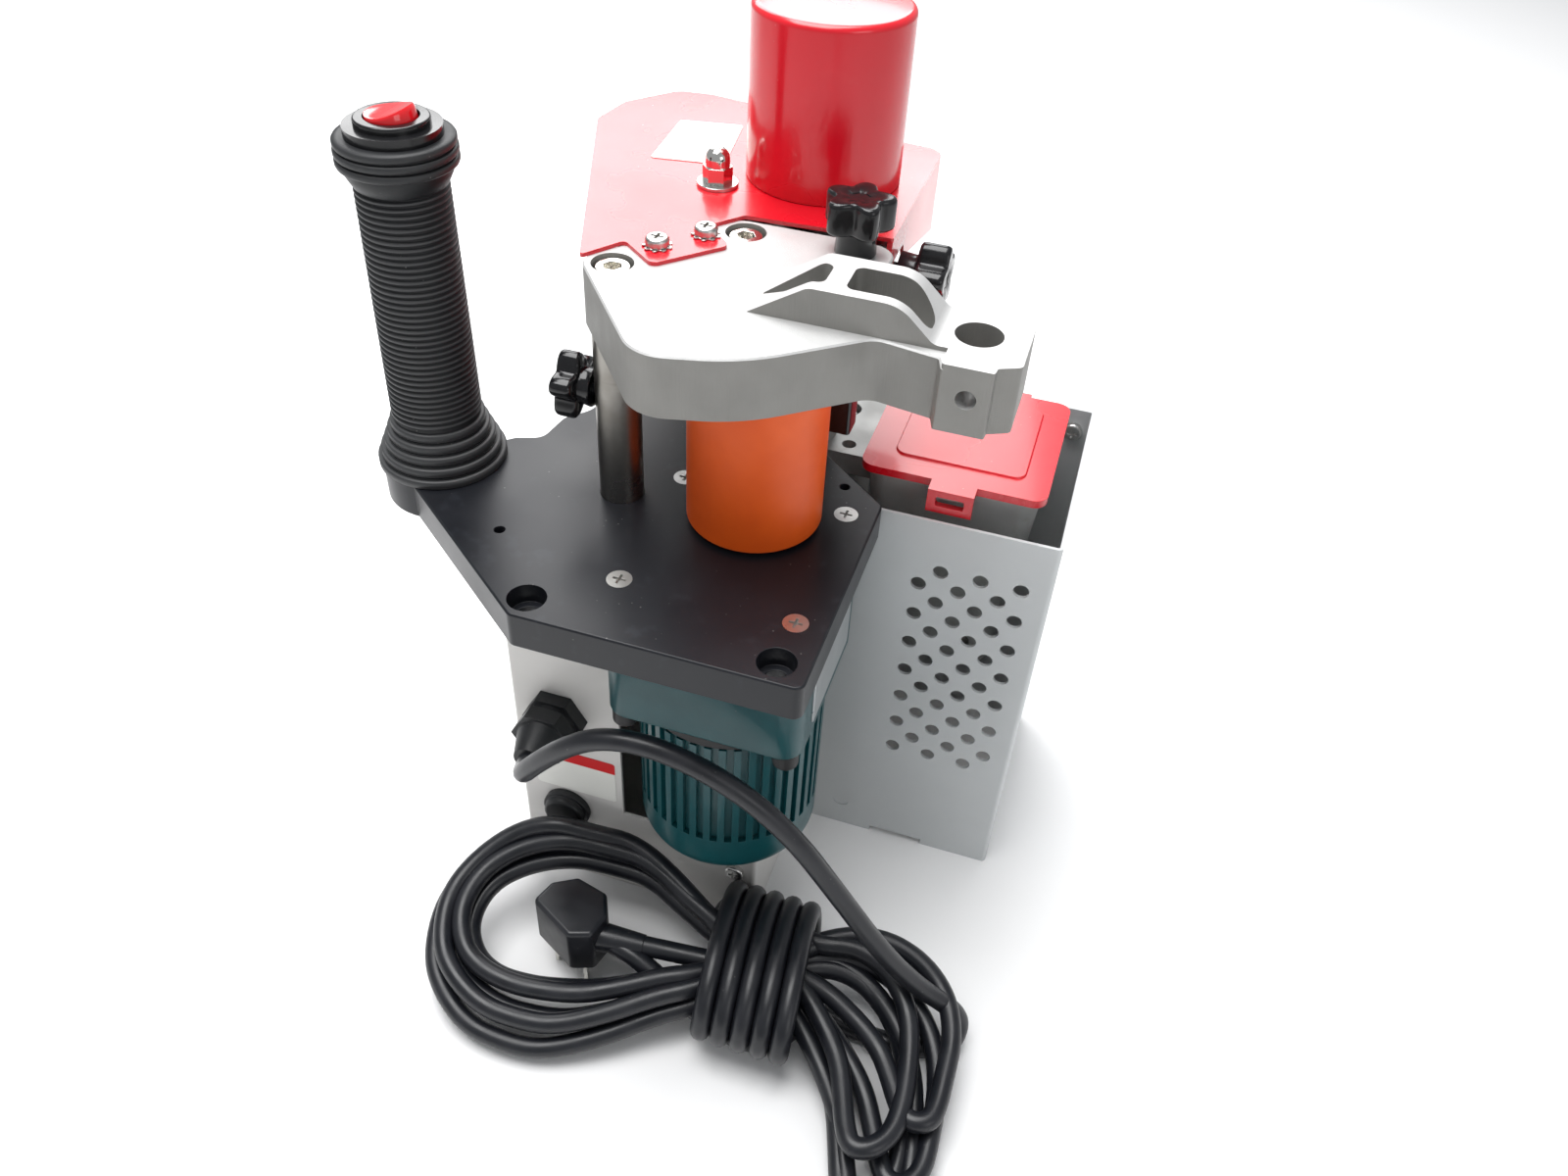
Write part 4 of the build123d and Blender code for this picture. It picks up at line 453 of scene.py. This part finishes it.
@dataclass
class CadDressing:
    """CAD nodes that keep their shape: rigid skins get softened edges, the rest a finish only."""

    frame: dict
    shop: MaterialShop
    rounds: dict[str, float] = field(default_factory=lambda: {
        "base_plate": 0.7, "top_arm": 1.0, "gear_cover": 0.9, "motor_can": 0.8, "control_cabinet": 0.9,
        "perforated_guard": 0.35, "glue_pot": 0.8, "pot_lid": 0.7, "tape_presser": 0.4, "columns": 0.4,
        "feed_sleeve": 0.8, "feed_hub": 0.4, "motor_end_bell": 0.7, "motor_bracket": 0.5,
        "gearbox_housing": 0.7, "glue_roller": 0.4, "acorn_nut": 0.35, "cap_screws": 0.3,
        "pan_screws": 0.25, "cable_gland": 0.35, "plug": 0.7, "socket_boot": 0.6, "switch_bezel": 0.5,
        "handle_tube": 0.4, "hinge_pin": 0.2, "gear_plate": 0.4, "cabinet_back_cover": 0.4,
        "motor_nuts": 0.2, "motor_screws": 0.2, "plug_pins": 0.25, "motor_housing": 0.5,
        "motor_nameplate": 0.2})

    # painted shade: these nodes' upright faces get this darker tone, so the sides read darker than the lit
    # top
    painted_side_shade: dict[str, tuple[float, float, float]] = field(
        default_factory=lambda: {"top_arm": (0.27, 0.265, 0.25)})

    def slots(self) -> dict[str, str]:
        """The record's slot of each node."""
        return {part["node"]: part["material_slot"] for part in self.frame["record"]["subparts"]}

    def body_of(self, node: str) -> str:
        """The body a node rides on."""
        bodies = self.frame["record"]["behaviour"]["bodies"]
        return next(body for body, nodes in bodies.items() if node in nodes)

    def soften(self, node: str, slot: str, width: float) -> bpy.types.Object:
        """Copies a node, merges its triangles and rounds its edges.

        Args:
            node: the CAD node.
            slot: its material slot.
            width: the rounding in millimetres.

        Returns:
            The copy, which stands for the node.
        """
        mesh = self.frame["nodes"][node].data.copy()
        mesh.name = node + "_skin"
        work = bmesh.new()
        work.from_mesh(mesh)
        bmesh.ops.remove_doubles(work, verts=work.verts, dist=2e-6)
        bmesh.ops.dissolve_limit(work, angle_limit=math.radians(0.6), verts=work.verts, edges=work.edges)
        work.to_mesh(mesh)
        work.free()
        for name in [a.name for a in mesh.attributes if a.name in ("custom_normal", "sharp_face")]:
            mesh.attributes.remove(mesh.attributes[name])
        # face mask for the painted shade on the upright faces
        if node in self.painted_side_shade:
            self.mark_shaded_sides(mesh)
        mesh.shade_smooth()
        mesh.set_sharp_from_angle(angle=math.radians(24))
        piece = bpy.data.objects.new(node + "_skin", mesh)
        bpy.context.collection.objects.link(piece)
        if width > 0:
            bevel = piece.modifiers.new("eased edges", "BEVEL")
            bevel.width, bevel.segments, bevel.limit_method = width * MM, 2, "ANGLE"
            bevel.angle_limit, bevel.harden_normals, bevel.use_clamp_overlap = math.radians(28), True, True
        skin = self.shop.get(slot)
        # material that paints the darker shade tone onto the upright faces
        if node in self.painted_side_shade:
            skin = self.shop.banded(slot, "painted_side_shade", self.painted_side_shade[node], node + "_metal")
        return finish_piece(piece, self.body_of(node), slot, skin, node)

    def mark_shaded_sides(self, mesh: bpy.types.Mesh) -> None:
        """Marks upright faces with 1 and level ones with 0, by the height of the face's normal: the mask of
        the painted shade that makes the sides darker than the top.
        """
        normals = np.zeros(len(mesh.polygons) * 3, dtype=np.float32)
        mesh.polygons.foreach_get("normal", normals)
        level = np.abs(normals.reshape(-1, 3)[:, 2])
        mark = mesh.attributes.new("painted_side_shade", "FLOAT", "FACE")
        mark.data.foreach_set("value", np.clip(1.25 - 1.6 * level, 0, 1).astype(np.float32))

    def build(self, replaced: set[str]) -> None:
        """Dresses every node that no other piece stands for.

        Args:
            replaced: nodes that have a piece of their own.
        """
        for node, slot in self.slots().items():
            if node in replaced:
                continue
            if node in self.rounds:
                self.soften(node, slot, self.rounds[node])
                continue
            part = self.frame["nodes"][node]
            for place in part.material_slots:
                place.material = self.shop.get(slot)
            if not part.material_slots:
                part.data.materials.append(self.shop.get(slot))
            LOG.info("%s keeps its CAD shape", node)


@dataclass
class GripHandle:
    """The upright handle: a ribbed rubber grip and its crown."""

    axis: tuple[float, float] = (-129.0, 13.0)
    foot: float = 205.0
    foot_rings: tuple[float, ...] = (25.0, 23.3, 21.5, 19.8, 18.2)
    rings: int = 38
    ring_low: float = 22.0
    ring_high: float = 112.8
    ring_radius: tuple[float, float] = (17.3, 16.3)
    groove: float = 0.95
    crown: tuple[tuple[float, float], ...] = (
        (16.3, 113.4), (17.0, 114.8), (18.3, 117.4), (18.4, 119.6), (19.6, 119.9), (20.5, 120.4),
        (20.75, 121.0),
        (20.75, 122.3), (20.4, 122.8), (19.5, 123.0), (19.5, 123.5), (20.4, 123.7), (20.75, 124.2),
        (20.75, 125.6), (20.4, 126.1), (19.5, 126.3), (19.5, 126.8), (20.2, 127.0), (20.5, 127.5),
        (20.5, 128.9), (20.1, 129.5), (18.4, 129.8))
    bore: float = 12.3

    def outline(self) -> tuple[np.ndarray, np.ndarray]:
        """The grip's outline from the foot up, with a crest mark per point.

        The height runs up in even steps; the radius is the ring's crest less a groove whose depth follows a
        flattened cosine of the height over the ring pitch:
        r = crest - groove * clip(0.5 - cos(2 pi h / pitch), 0, 1).

        Returns:
            (n, 2) radius and height in millimetres, and n crest marks from 0 to 1.
        """
        steps = np.linspace(0, 1, self.rings * 10 + 1)
        height = self.ring_low + (self.ring_high - self.ring_low) * steps
        wave = np.clip(0.55 - 1.1 * np.cos(2 * np.pi * steps * self.rings), 0, 1)
        crest = self.ring_radius[0] + (self.ring_radius[1] - self.ring_radius[0]) * steps
        ribs = np.stack([crest - self.groove * (1 - wave), height], axis=1)
        marks = np.clip((wave - 0.86) * 7, 0, 1)
        pitch = 21.0 / len(self.foot_rings)
        step = np.arange(len(self.foot_rings))[:, None] * pitch
        rise = np.array([0.0, 0.35, 3.1, 3.45, 3.6, 4.1])[None, :]
        inset = np.array([0.6, 0.0, 0.0, 0.6, 1.5, 1.5])[None, :]
        foot = np.stack([(np.array(self.foot_rings)[:, None] - inset).ravel(),
                         (step + rise).ravel()], axis=1)
        foot_marks = np.tile([0.2, 0.7, 0.5, 0.9, 0.0, 0.0], len(self.foot_rings))
        crown = np.array(self.crown)
        crown_marks = np.where(crown[:, 0] > 20.3, 0.35, 0.0)
        hole = np.array([(self.bore, 129.8), (self.bore, 0.0)])
        points = np.concatenate([foot, ribs, crown, hole])
        marks = np.concatenate([foot_marks, marks, crown_marks, [0.0, 0.0]])
        return points, marks

    def build(self, shop: MaterialShop) -> list[bpy.types.Object]:
        """Makes the grip.

        Args:
            shop: the finishes.

        Returns:
            The grip piece.
        """
        outline, marks = self.outline()
        segments = 72
        points, faces = lathe(outline, segments)
        points = points + np.array([self.axis[0], self.axis[1], self.foot])
        mesh = bpy.data.meshes.new("ribbed_grip")
        mesh.from_pydata((points * MM).tolist(), [], faces.tolist())
        crest = mesh.attributes.new("crest", "FLOAT", "POINT")
        crest.data.foreach_set("value", np.repeat(marks, segments).astype(np.float32))
        work = bmesh.new()
        work.from_mesh(mesh)
        bmesh.ops.recalc_face_normals(work, faces=work.faces)
        work.to_mesh(mesh)
        work.free()
        mesh.shade_smooth()
        mesh.set_sharp_from_angle(angle=math.radians(60))
        grip = bpy.data.objects.new("ribbed_grip", mesh)
        bpy.context.collection.objects.link(grip)
        skin = shop.banded("black_rubber", "crest", (0.055, 0.056, 0.058), "grip_rubber")
        return [finish_piece(grip, "root", "black_rubber", skin, "handle_grip")]


@dataclass
class StarKnob:
    """A five-lobed moulded knob on its hub, with a screw; it stands on a seat along an axis."""

    body: str
    seat: tuple[float, float, float]
    axis: tuple[float, float, float]
    hub_length: float
    star_height: float
    star_diameter: float
    hub_radius: float = 7.2
    screw_radius: float = 3.0
    screw_length: float = 10.0

    def section(self, turn: np.ndarray) -> np.ndarray:
        """The star's radius by angle: a mean radius plus a five-fold cosine, flattened on its lobes."""
        wave = np.cos(5 * turn)
        return self.star_diameter / 2 * (0.855 + 0.165 * wave - 0.02 * wave ** 2)

    def points(self) -> tuple[np.ndarray, list]:
        """The knob's skin: each level is a blend of the hub's circle and the star's section, scaled inwards.

        The edge levels follow a quarter round, so the star is crowned, and the hub flares at its foot.

        Returns:
            Points in the knob's own axes, in millimetres, and faces.
        """
        turn = np.linspace(0, 2 * np.pi, 120, endpoint=False)
        low, high = self.hub_length, self.hub_length + self.star_height
        levels = np.array([
            (0.0, 0.0, 0.55), (0.0, 0.0, 1.0), (0.5, 0.0, 1.04), (low - 1.2, 0.0, 0.97),
            (low - 0.2, 0.0, 1.02),
            (low, 1.0, 0.80), (low + 0.25, 1.0, 0.90), (low + 0.9, 1.0, 0.975), (low + 1.8, 1.0, 1.0),
            (high - 2.2, 1.0, 1.0), (high - 1.1, 1.0, 0.985), (high - 0.45, 1.0, 0.95),
            (high - 0.1, 1.0, 0.88),
            (high - 0.25, 0.8, 0.66), (high - 0.75, 0.4, 0.46), (high - 0.95, 0.0, 0.55),
            (high - 1.0, 0.0, 0.1)])
        star, hub = self.section(turn)[None, :], self.hub_radius
        share = levels[:, 1][:, None]
        radius = (star * share + hub * (1 - share)) * levels[:, 2][:, None]
        x, y = radius * np.cos(turn + np.pi / 2), radius * np.sin(turn + np.pi / 2)
        skin = np.stack([x, y, levels[:, 0][:, None] + 0 * turn], axis=-1).reshape(-1, 3)
        faces = grid_faces(len(levels), 120, wrap_columns=True).tolist()
        faces += [list(range(120)), list(range(len(levels) * 120 - 120, len(levels) * 120))]
        rod_turn = turn[::5]
        rod = np.array([(self.screw_radius, 0.2), (self.screw_radius, -self.screw_length + 0.6),
                        (self.screw_radius - 0.6, -self.screw_length)])
        ring = np.stack([rod[:, 0][:, None] * np.cos(rod_turn), rod[:, 0][:, None] * np.sin(rod_turn),
                         rod[:, 1][:, None] + 0 * rod_turn], axis=-1).reshape(-1, 3)
        start, steps = len(skin), len(rod_turn)
        faces += (grid_faces(len(rod), steps, wrap_columns=True) + start).tolist()
        faces += [list(range(start, start + steps)), list(range(start + 2 * steps, start + 3 * steps))]
        return np.concatenate([skin, ring]), faces

    def build(self, shop: MaterialShop) -> bpy.types.Object:
        """Makes the knob in its place.

        Args:
            shop: the finishes.

        Returns:
            The knob piece.
        """
        points, faces = self.points()
        ahead = Vector(self.axis)
        side = Vector((1, 0, 0)) if abs(ahead.z) > 0.5 else Vector((0, 1, 0)) * (1 if ahead.x > 0 else -1)
        turn = np.array([side, ahead.cross(side), ahead])
        knob = make_mesh(self.body + "_star", (points @ turn + np.array(self.seat)) * MM, faces)
        return finish_piece(knob, self.body, "black_plastic", shop.get("black_plastic"), self.body)


@dataclass
class CoverWashers:
    """The cover's plain washer and two toothed lock washers."""

    top: float = 303.0
    plain: tuple[float, float] = (-41.0, 88.0)
    toothed: tuple[tuple[float, float], ...] = ((-42.5, 30.8), (-30.0, 45.6))
    teeth: int = 9

    def ring(self, centre: tuple[float, float], inner: float, outer: float, thick: float, tooth: float,
             twist: float) -> tuple[np.ndarray, np.ndarray]:
        """A washer whose rim is a flat-topped wave: outer + tooth * clip(2 cos(teeth * angle), -1, 1).

        Args:
            centre: its middle.
            inner: hole radius.
            outer: mean rim radius.
            thick: thickness.
            tooth: height of the teeth.
            twist: rise and fall of the teeth.

        Returns:
            Points in millimetres and quads.
        """
        turn = np.linspace(0, 2 * np.pi, 144, endpoint=False)
        rim = outer + tooth * np.clip(2 * np.cos(self.teeth * turn), -1, 1)
        lift = twist * np.sin(self.teeth * turn)
        root = outer - tooth - 0.2
        radii = np.stack([0 * turn + inner, 0 * turn + root, rim - 0.15, rim, rim, rim - 0.15,
                          0 * turn + root, 0 * turn + inner])
        heights = np.stack([0 * turn, 0 * turn, lift * 1.0, 0.15 + lift, thick - 0.15 + lift, thick + lift,
                            0 * turn + thick, 0 * turn + thick]) + 0.02 + twist
        points = np.stack([centre[0] + radii * np.cos(turn), centre[1] + radii * np.sin(turn),
                           self.top + heights], axis=-1).reshape(-1, 3)
        return points, grid_faces(8, 144, wrap_rows=True, wrap_columns=True)

    def build(self, shop: MaterialShop) -> bpy.types.Object:
        """Makes all three washers as one piece.

        Args:
            shop: the finishes.

        Returns:
            The washers.
        """
        parts = [self.ring(self.plain, 3.2, 8.0, 1.4, 0.0, 0.0)]
        parts += [self.ring(place, 2.8, 4.9, 0.5, 0.55, 0.12) for place in self.toothed]
        points = np.concatenate([p for p, _ in parts])
        faces = np.concatenate([f + n * len(parts[0][0]) for n, (_, f) in enumerate(parts)])
        washers = make_mesh("lock_washers", points * MM, faces)
        return finish_piece(washers, "root", "zinc", shop.get("zinc"), "cover_washers")


@dataclass
class BlankLabels:
    """Two blank labels: a cream one on the cover, and one with a plain red band on the cabinet's front."""

    band_floor: float = 0.0775
    cover_floor: float = 0.2
    band: tuple[float, float, float] = (0.62, 0.01, 0.012)

    def build(self, frame: dict, shop: MaterialShop) -> None:
        """Paints the labels' node: the band is where the height lies between the two floors.

        Args:
            frame: the CAD frame.
            shop: the finishes.
        """
        material, write, effect, shader = shop.dress("label_film", FINISHES["sticker"])
        split = write.add("SeparateXYZ")
        write.join(write.add("TexCoord").outputs["Object"], split.inputs[0])
        above = write.maths("GREATER_THAN", split.outputs["Z"], self.band_floor)
        below = write.maths("LESS_THAN", split.outputs["Z"], self.cover_floor)
        mask = write.maths("MULTIPLY", above, below)
        write.join(write.blend(mask, effect.outputs["Colour"], rgba(self.band)), shader.inputs["Base Color"])
        for place in frame["nodes"]["labels"].material_slots:
            place.material = material
        LOG.info("labels keep their CAD shape")


@dataclass
class RockerSwitch:
    """The round red rocker in the handle's top: a dished disc that sits tilted in its bezel."""

    axis: tuple[float, float] = (-129.0, 13.0)
    pivot: float = 339.1
    radius: float = 8.9
    ball: float = 9.1
    dish: float = 1.3
    tilt: float = math.radians(-12)

    def build(self, shop: MaterialShop) -> bpy.types.Object:
        """Makes the rocker: a disc whose top is a shallow trough across the tilt, z = top + dish (x / r)^2.

        Its sides are drawn in to stay within a ball round the pivot, so it tilts freely in its bore.

        Args:
            shop: the finishes.

        Returns:
            The rocker piece.
        """
        rings = np.array([0.02, 0.3, 0.6, 0.85, 0.94, 0.985, 1.0, 1.0, 0.98, 0.02])
        heights = np.array([3.2, 3.2, 3.2, 3.2, 3.1, 2.7, 2.1, -2.6, -3.4, -3.4])
        shallow = np.array([1.0, 1.0, 1.0, 1.0, 0.95, 0.8, 0.6, 0, 0, 0])
        turn = np.linspace(0, 2 * np.pi, 96, endpoint=False)
        x = self.radius * rings[:, None] * np.cos(turn)
        y = self.radius * rings[:, None] * np.sin(turn)
        z = heights[:, None] + self.dish * shallow[:, None] * (x / self.radius) ** 2
        inside = np.sqrt(self.ball ** 2 - z ** 2) / np.maximum(np.hypot(x, y), 0.01)
        x, y = x * np.minimum(inside, 1.0), y * np.minimum(inside, 1.0)
        tilt = np.array(Matrix.Rotation(self.tilt, 3, "Y"))
        points = np.stack([x, y, z], axis=-1).reshape(-1, 3) @ tilt.T
        points = points + np.array([self.axis[0], self.axis[1], self.pivot])
        faces = grid_faces(len(rings), 96, wrap_columns=True).tolist()
        faces += [list(range(96)), list(range(9 * 96, 10 * 96))]
        rocker = make_mesh("rocker_cap", points * MM, faces)
        return finish_piece(rocker, "rocker", "red_plastic", shop.get("red_plastic"), "rocker_switch")


@dataclass
class CordHank:
    """The mains cord: a free run to the floor, then a hank of loose loops tied by its own wraps."""

    diameter: float = 8.5
    free_run: tuple[tuple[float, float, float], ...] = (
        (-71, -38, 107), (-71, -57, 107), (-60.5, -62, 124), (-46, -63, 141), (-30, -62, 152),
        (-8, -60.5, 153),
        (20, -58.5, 141), (44, -57, 120), (64, -55, 89), (86, -54, 56), (103, -50, 34),
        (117, -46, 21), (123, -46, 12),
        (121, -55, 6), (110, -60, 5), (80, -62, 5), (45, -54, 6), (24, -48, 10))
    outer: tuple[tuple[float, float, float], ...] = (
        (5, -46, 33), (-34, -27, 40), (-57, -32, 44), (-73, -33, 46), (-89, -38, 39),
        (-102, -54, 30), (-108, -72, 24),
        (-103, -93, 16), (-92, -105, 12), (-76, -114, 8), (-57, -116, 8), (-41, -114, 8),
        (-20, -103, 12), (-1, -89, 17),
        (12, -82, 20))
    inner: tuple[tuple[float, float, float], ...] = (
        (-4, -46, 33), (-20, -38, 34), (-36, -38, 35), (-56, -40, 35), (-76, -48, 32),
        (-90, -60, 28), (-91, -77, 22),
        (-82, -87, 18), (-69, -91, 17), (-52, -89, 18), (-38, -85, 19), (-26, -81, 20),
        (-15, -77, 22), (-2, -72, 24),
        (9, -69, 25))
    right: tuple[tuple[float, float, float], ...] = (
        (38, -56, 24), (60, -44, 25), (78, -46, 23), (95, -57, 19), (108, -74, 13), (114, -96, 9),
        (117, -119, 7),
        (116, -133, 6), (110, -142, 6), (102, -143, 6), (97, -134, 6), (92, -120, 7),
        (86, -105, 9), (76, -91, 12), (63, -77, 16),
        (50, -67, 20), (36, -60, 22))
    tips: tuple[tuple[float, float, float], ...] = (
        (0.0, 0.0, 0.0), (7.0, 22.0, 4.0), (-6.0, 8.0, 0.0), (9.0, 44.0, 7.0), (-10.0, 26.0, 8.0))
    shares: tuple[float, ...] = (0.0, 0.42, 0.85, 0.22, 0.64)
    lifts: tuple[float, ...] = (0.0, 0.0, 0.0, 8.0, 8.0)
    plug: tuple[str, ...] = ("plug_skin", "plug_pins_skin")
    wraps: float = 5.0
    wrap_from: float = 12.0
    wrap_to: float = 56.0
    wrap_slant: float = 5.0
    wrap_start: float = 0.5 - np.pi
    waist_centre: tuple[float, float] = (-58, 24.5)
    waist_half: tuple[float, float] = (34, 20)
    points_per_wrap: int = 15
    furthest_right: float = 121.0
    fan_width: float = 9.0
    right_lift: float = 0.8
    floor_gap: float = 0.4
    lead_in: tuple[tuple[float, float, float], ...] = ((43, -42, 32), (28, -35, 33), (16, -29, 26))
    tail: tuple[tuple[float, float, float], ...] = (
        (54, -72, 6), (47, -81, 8), (35, -84, 10), (20, -82, 14), (5, -78, 20), (-9, -74, 26),
        (-22, -71, 30),
        (-35, -69.5, 31))

    def turn(self, number: int) -> np.ndarray:
        """One turn of the hank: a share between the inner and outer left loop, then its own right loop.

        The right loop is moved by its own tip offset, weighted by half a sine, so the turns fan out.

        Args:
            number: which turn.

        Returns:
            Its control points in millimetres.
        """
        share, lift = self.shares[number], self.lifts[number]
        left = np.array(self.outer) * (1 - share) + np.array(self.inner) * share
        left[:, 2] += lift * np.clip(left[:, 2] / 12.0, 0.2, 1.0)
        right = np.array(self.right, dtype=float)
        reach = np.sin(np.linspace(0, np.pi, len(right)))[:, None]
        right += reach * np.array(self.tips[number])
        right[:, 0] = np.minimum(right[:, 0], self.furthest_right)
        side = np.linspace(-1, 1, len(right))
        right[:, 1] += side * self.fan_width * share * (1 - reach[:, 0])
        right[:, 2] += lift * self.right_lift
        return np.concatenate([left, right[::-1]])

    def route(self) -> np.ndarray:
        """The whole line's control points.

        The wraps are a flat helix round the waist: x runs along, y and z go round an ellipse.

        Returns:
            (n, 3) points in metres.
        """
        parts = [np.array(self.free_run, dtype=float)]
        parts += [self.turn(number) for number in range(len(self.shares))]
        angle = np.linspace(self.wrap_start, 2 * np.pi * (self.wraps - 0.25),
                            int(self.points_per_wrap * self.wraps))
        share = (angle - angle[0]) / (angle[-1] - angle[0])
        along = self.wrap_from + (self.wrap_to - self.wrap_from) * share
        slant = self.wrap_slant * np.cos(angle)
        (y, z), (half_y, half_z) = self.waist_centre, self.waist_half
        loops = np.stack([along + slant, y - half_y * np.cos(angle), z + half_z * np.sin(angle)], axis=1)
        parts[-1] = parts[-1][:-1]
        parts += [np.array(self.lead_in), loops, np.array(self.tail)]
        route = np.concatenate(parts)
        route[:, 2] = np.maximum(route[:, 2], self.diameter / 2 + self.floor_gap)
        return route * MM

    def build(self, shop: MaterialShop) -> bpy.types.Object:
        """Makes the cord as one smooth spline.

        Args:
            shop: the finishes.

        Returns:
            The cord.
        """
        route = self.route()
        curve = bpy.data.curves.new("mains_cord", "CURVE")
        curve.dimensions = "3D"
        curve.bevel_depth = self.diameter / 2 * MM
        curve.bevel_resolution = 5
        curve.resolution_u = 6
        curve.use_fill_caps = True
        spline = curve.splines.new("NURBS")
        spline.points.add(len(route) - 1)
        spline.points.foreach_set("co", np.concatenate([route, np.ones((len(route), 1))], axis=1).ravel())
        spline.order_u = 3
        spline.use_endpoint_u = True
        cord = bpy.data.objects.new("mains_cord", curve)
        bpy.context.collection.objects.link(cord)
        length = self.measure(cord)
        finish_piece(cord, "root", "cord_black", shop.get("cord_black"), "power_cord", "cord_hank")
        LOG.info("cord length %.3f m, %d control points", length, len(route))
        return cord

    def measure(self, cord: bpy.types.Object) -> float:
        """Length of the cord's own line, summed over its sampled runs."""
        bare = cord.data.copy()
        bare.bevel_depth = 0.0
        probe = bpy.data.objects.new("probe", bare)
        line = bpy.data.meshes.new_from_object(probe)
        spots = np.array([v.co for v in line.vertices])
        bpy.data.objects.remove(probe)
        bpy.data.meshes.remove(line)
        return float(np.linalg.norm(np.diff(spots, axis=0), axis=1).sum())


@dataclass
class Studio:
    """Camera, floor and soft lights."""

    place: tuple[float, float, float] = (0.11188, -0.34398, 0.49979)
    azimuth: float = 15.07
    elevation: float = 41.03
    roll: float = 3.77
    lens: float = 28.62

    def camera(self) -> None:
        """Sets the camera by azimuth, elevation and roll."""
        a, e, r = (math.radians(v) for v in (self.azimuth, self.elevation, self.roll))
        back = Vector((math.sin(a) * math.cos(e), -math.cos(a) * math.cos(e), math.sin(e)))
        right = Vector((0, 0, 1)).cross(back).normalized()
        up = back.cross(right)
        right, up = math.cos(r) * right + math.sin(r) * up, -math.sin(r) * right + math.cos(r) * up
        camera = bpy.data.objects.new("camera", bpy.data.cameras.new("camera"))
        turned = Matrix((right, up, back)).transposed().to_4x4()
        camera.matrix_world = Matrix.Translation(self.place) @ turned
        camera.data.lens, camera.data.sensor_width = self.lens, 36.0
        camera.data.clip_start = 0.01
        bpy.context.collection.objects.link(camera)
        bpy.context.scene.camera = camera

    def lamp(self, name: str, place: tuple[float, float, float], size: tuple[float, float],
             power: float) -> None:
        """A soft rectangular light aimed at the machine.

        Args:
            name: its name.
            place: where it hangs.
            size: its width and height.
            power: watts.
        """
        data = bpy.data.lights.new(name, "AREA")
        data.shape, data.size, data.size_y, data.energy = "RECTANGLE", *size, power
        lamp = bpy.data.objects.new(name, data)
        lamp.location = place
        aim = Vector((0, 0, 0.2)) - Vector(place)
        lamp.rotation_euler = aim.to_track_quat("-Z", "Y").to_euler()
        bpy.context.collection.objects.link(lamp)

    def floor(self) -> None:
        """A plain pale floor with a faint tone change."""
        side = 4.0
        points = side * np.array([(-1, -1, 0), (1, -1, 0), (1, 1, 0), (-1, 1, 0)], dtype=float)
        floor = make_mesh("floor", points, [[0, 1, 2, 3]])
        material = bpy.data.materials.new("pale_floor")
        material.use_nodes = True
        write = NodeWriter(material.node_tree)
        shader = material.node_tree.nodes["Principled BSDF"]
        grain = write.noise(write.add("TexCoord").outputs["Object"], 6.0)
        tone = write.blend(grain, (0.88, 0.88, 0.88, 1), (0.90, 0.90, 0.90, 1))
        write.join(tone, shader.inputs["Base Color"])
        shader.inputs["Roughness"].default_value = 0.9
        floor.data.materials.append(material)

    def build(self) -> None:
        """Sets the whole studio."""
        self.camera()
        self.floor()
        world = bpy.data.worlds.new("soft room")
        world.use_nodes = True
        world.node_tree.nodes["Background"].inputs["Color"].default_value = (0.95, 0.97, 1.0, 1.0)
        world.node_tree.nodes["Background"].inputs["Strength"].default_value = 0.42
        bpy.context.scene.world = world
        self.lamp("overhead", (-0.25, 0.05, 1.6), (1.3, 1.0), 34.0)
        self.lamp("window", (-0.75, 1.55, 1.35), (1.7, 1.0), 26.0)
        self.lamp("fill", (1.4, -0.9, 0.9), (0.8, 0.8), 3.5)
        bpy.context.scene.view_settings.view_transform = "Standard"


def main() -> None:
    """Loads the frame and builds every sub-assembly in order."""
    logging.basicConfig(level=logging.INFO, format="%(name)s: %(message)s")
    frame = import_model()
    shop = MaterialShop()
    Studio().build()
    GripHandle().build(shop)
    RockerSwitch().build(shop)
    StarKnob("knob_top", (22.0, 56.0, 301.9), (0, 0, 1), 9.0, 12.0, 26.0, screw_length=39.0).build(shop)
    StarKnob("knob_right", (33.5, 82.0, 285.0), (1, 0, 0), 7.0, 12.0, 26.0).build(shop)
    StarKnob("knob_left", (-62.0, 16.0, 250.0), (-1, 0, 0), 4.5, 9.0, 26.0).build(shop)
    CoverWashers().build(shop)
    BlankLabels().build(frame, shop)
    own = {"power_cord", "cord_hank", "handle_grip", "rocker_switch", "knob_top", "knob_right", "knob_left",
           "cover_washers", "labels"}
    CadDressing(frame, shop).build(own)
    CordHank().build(shop)


if __name__ == "__main__":
    main()
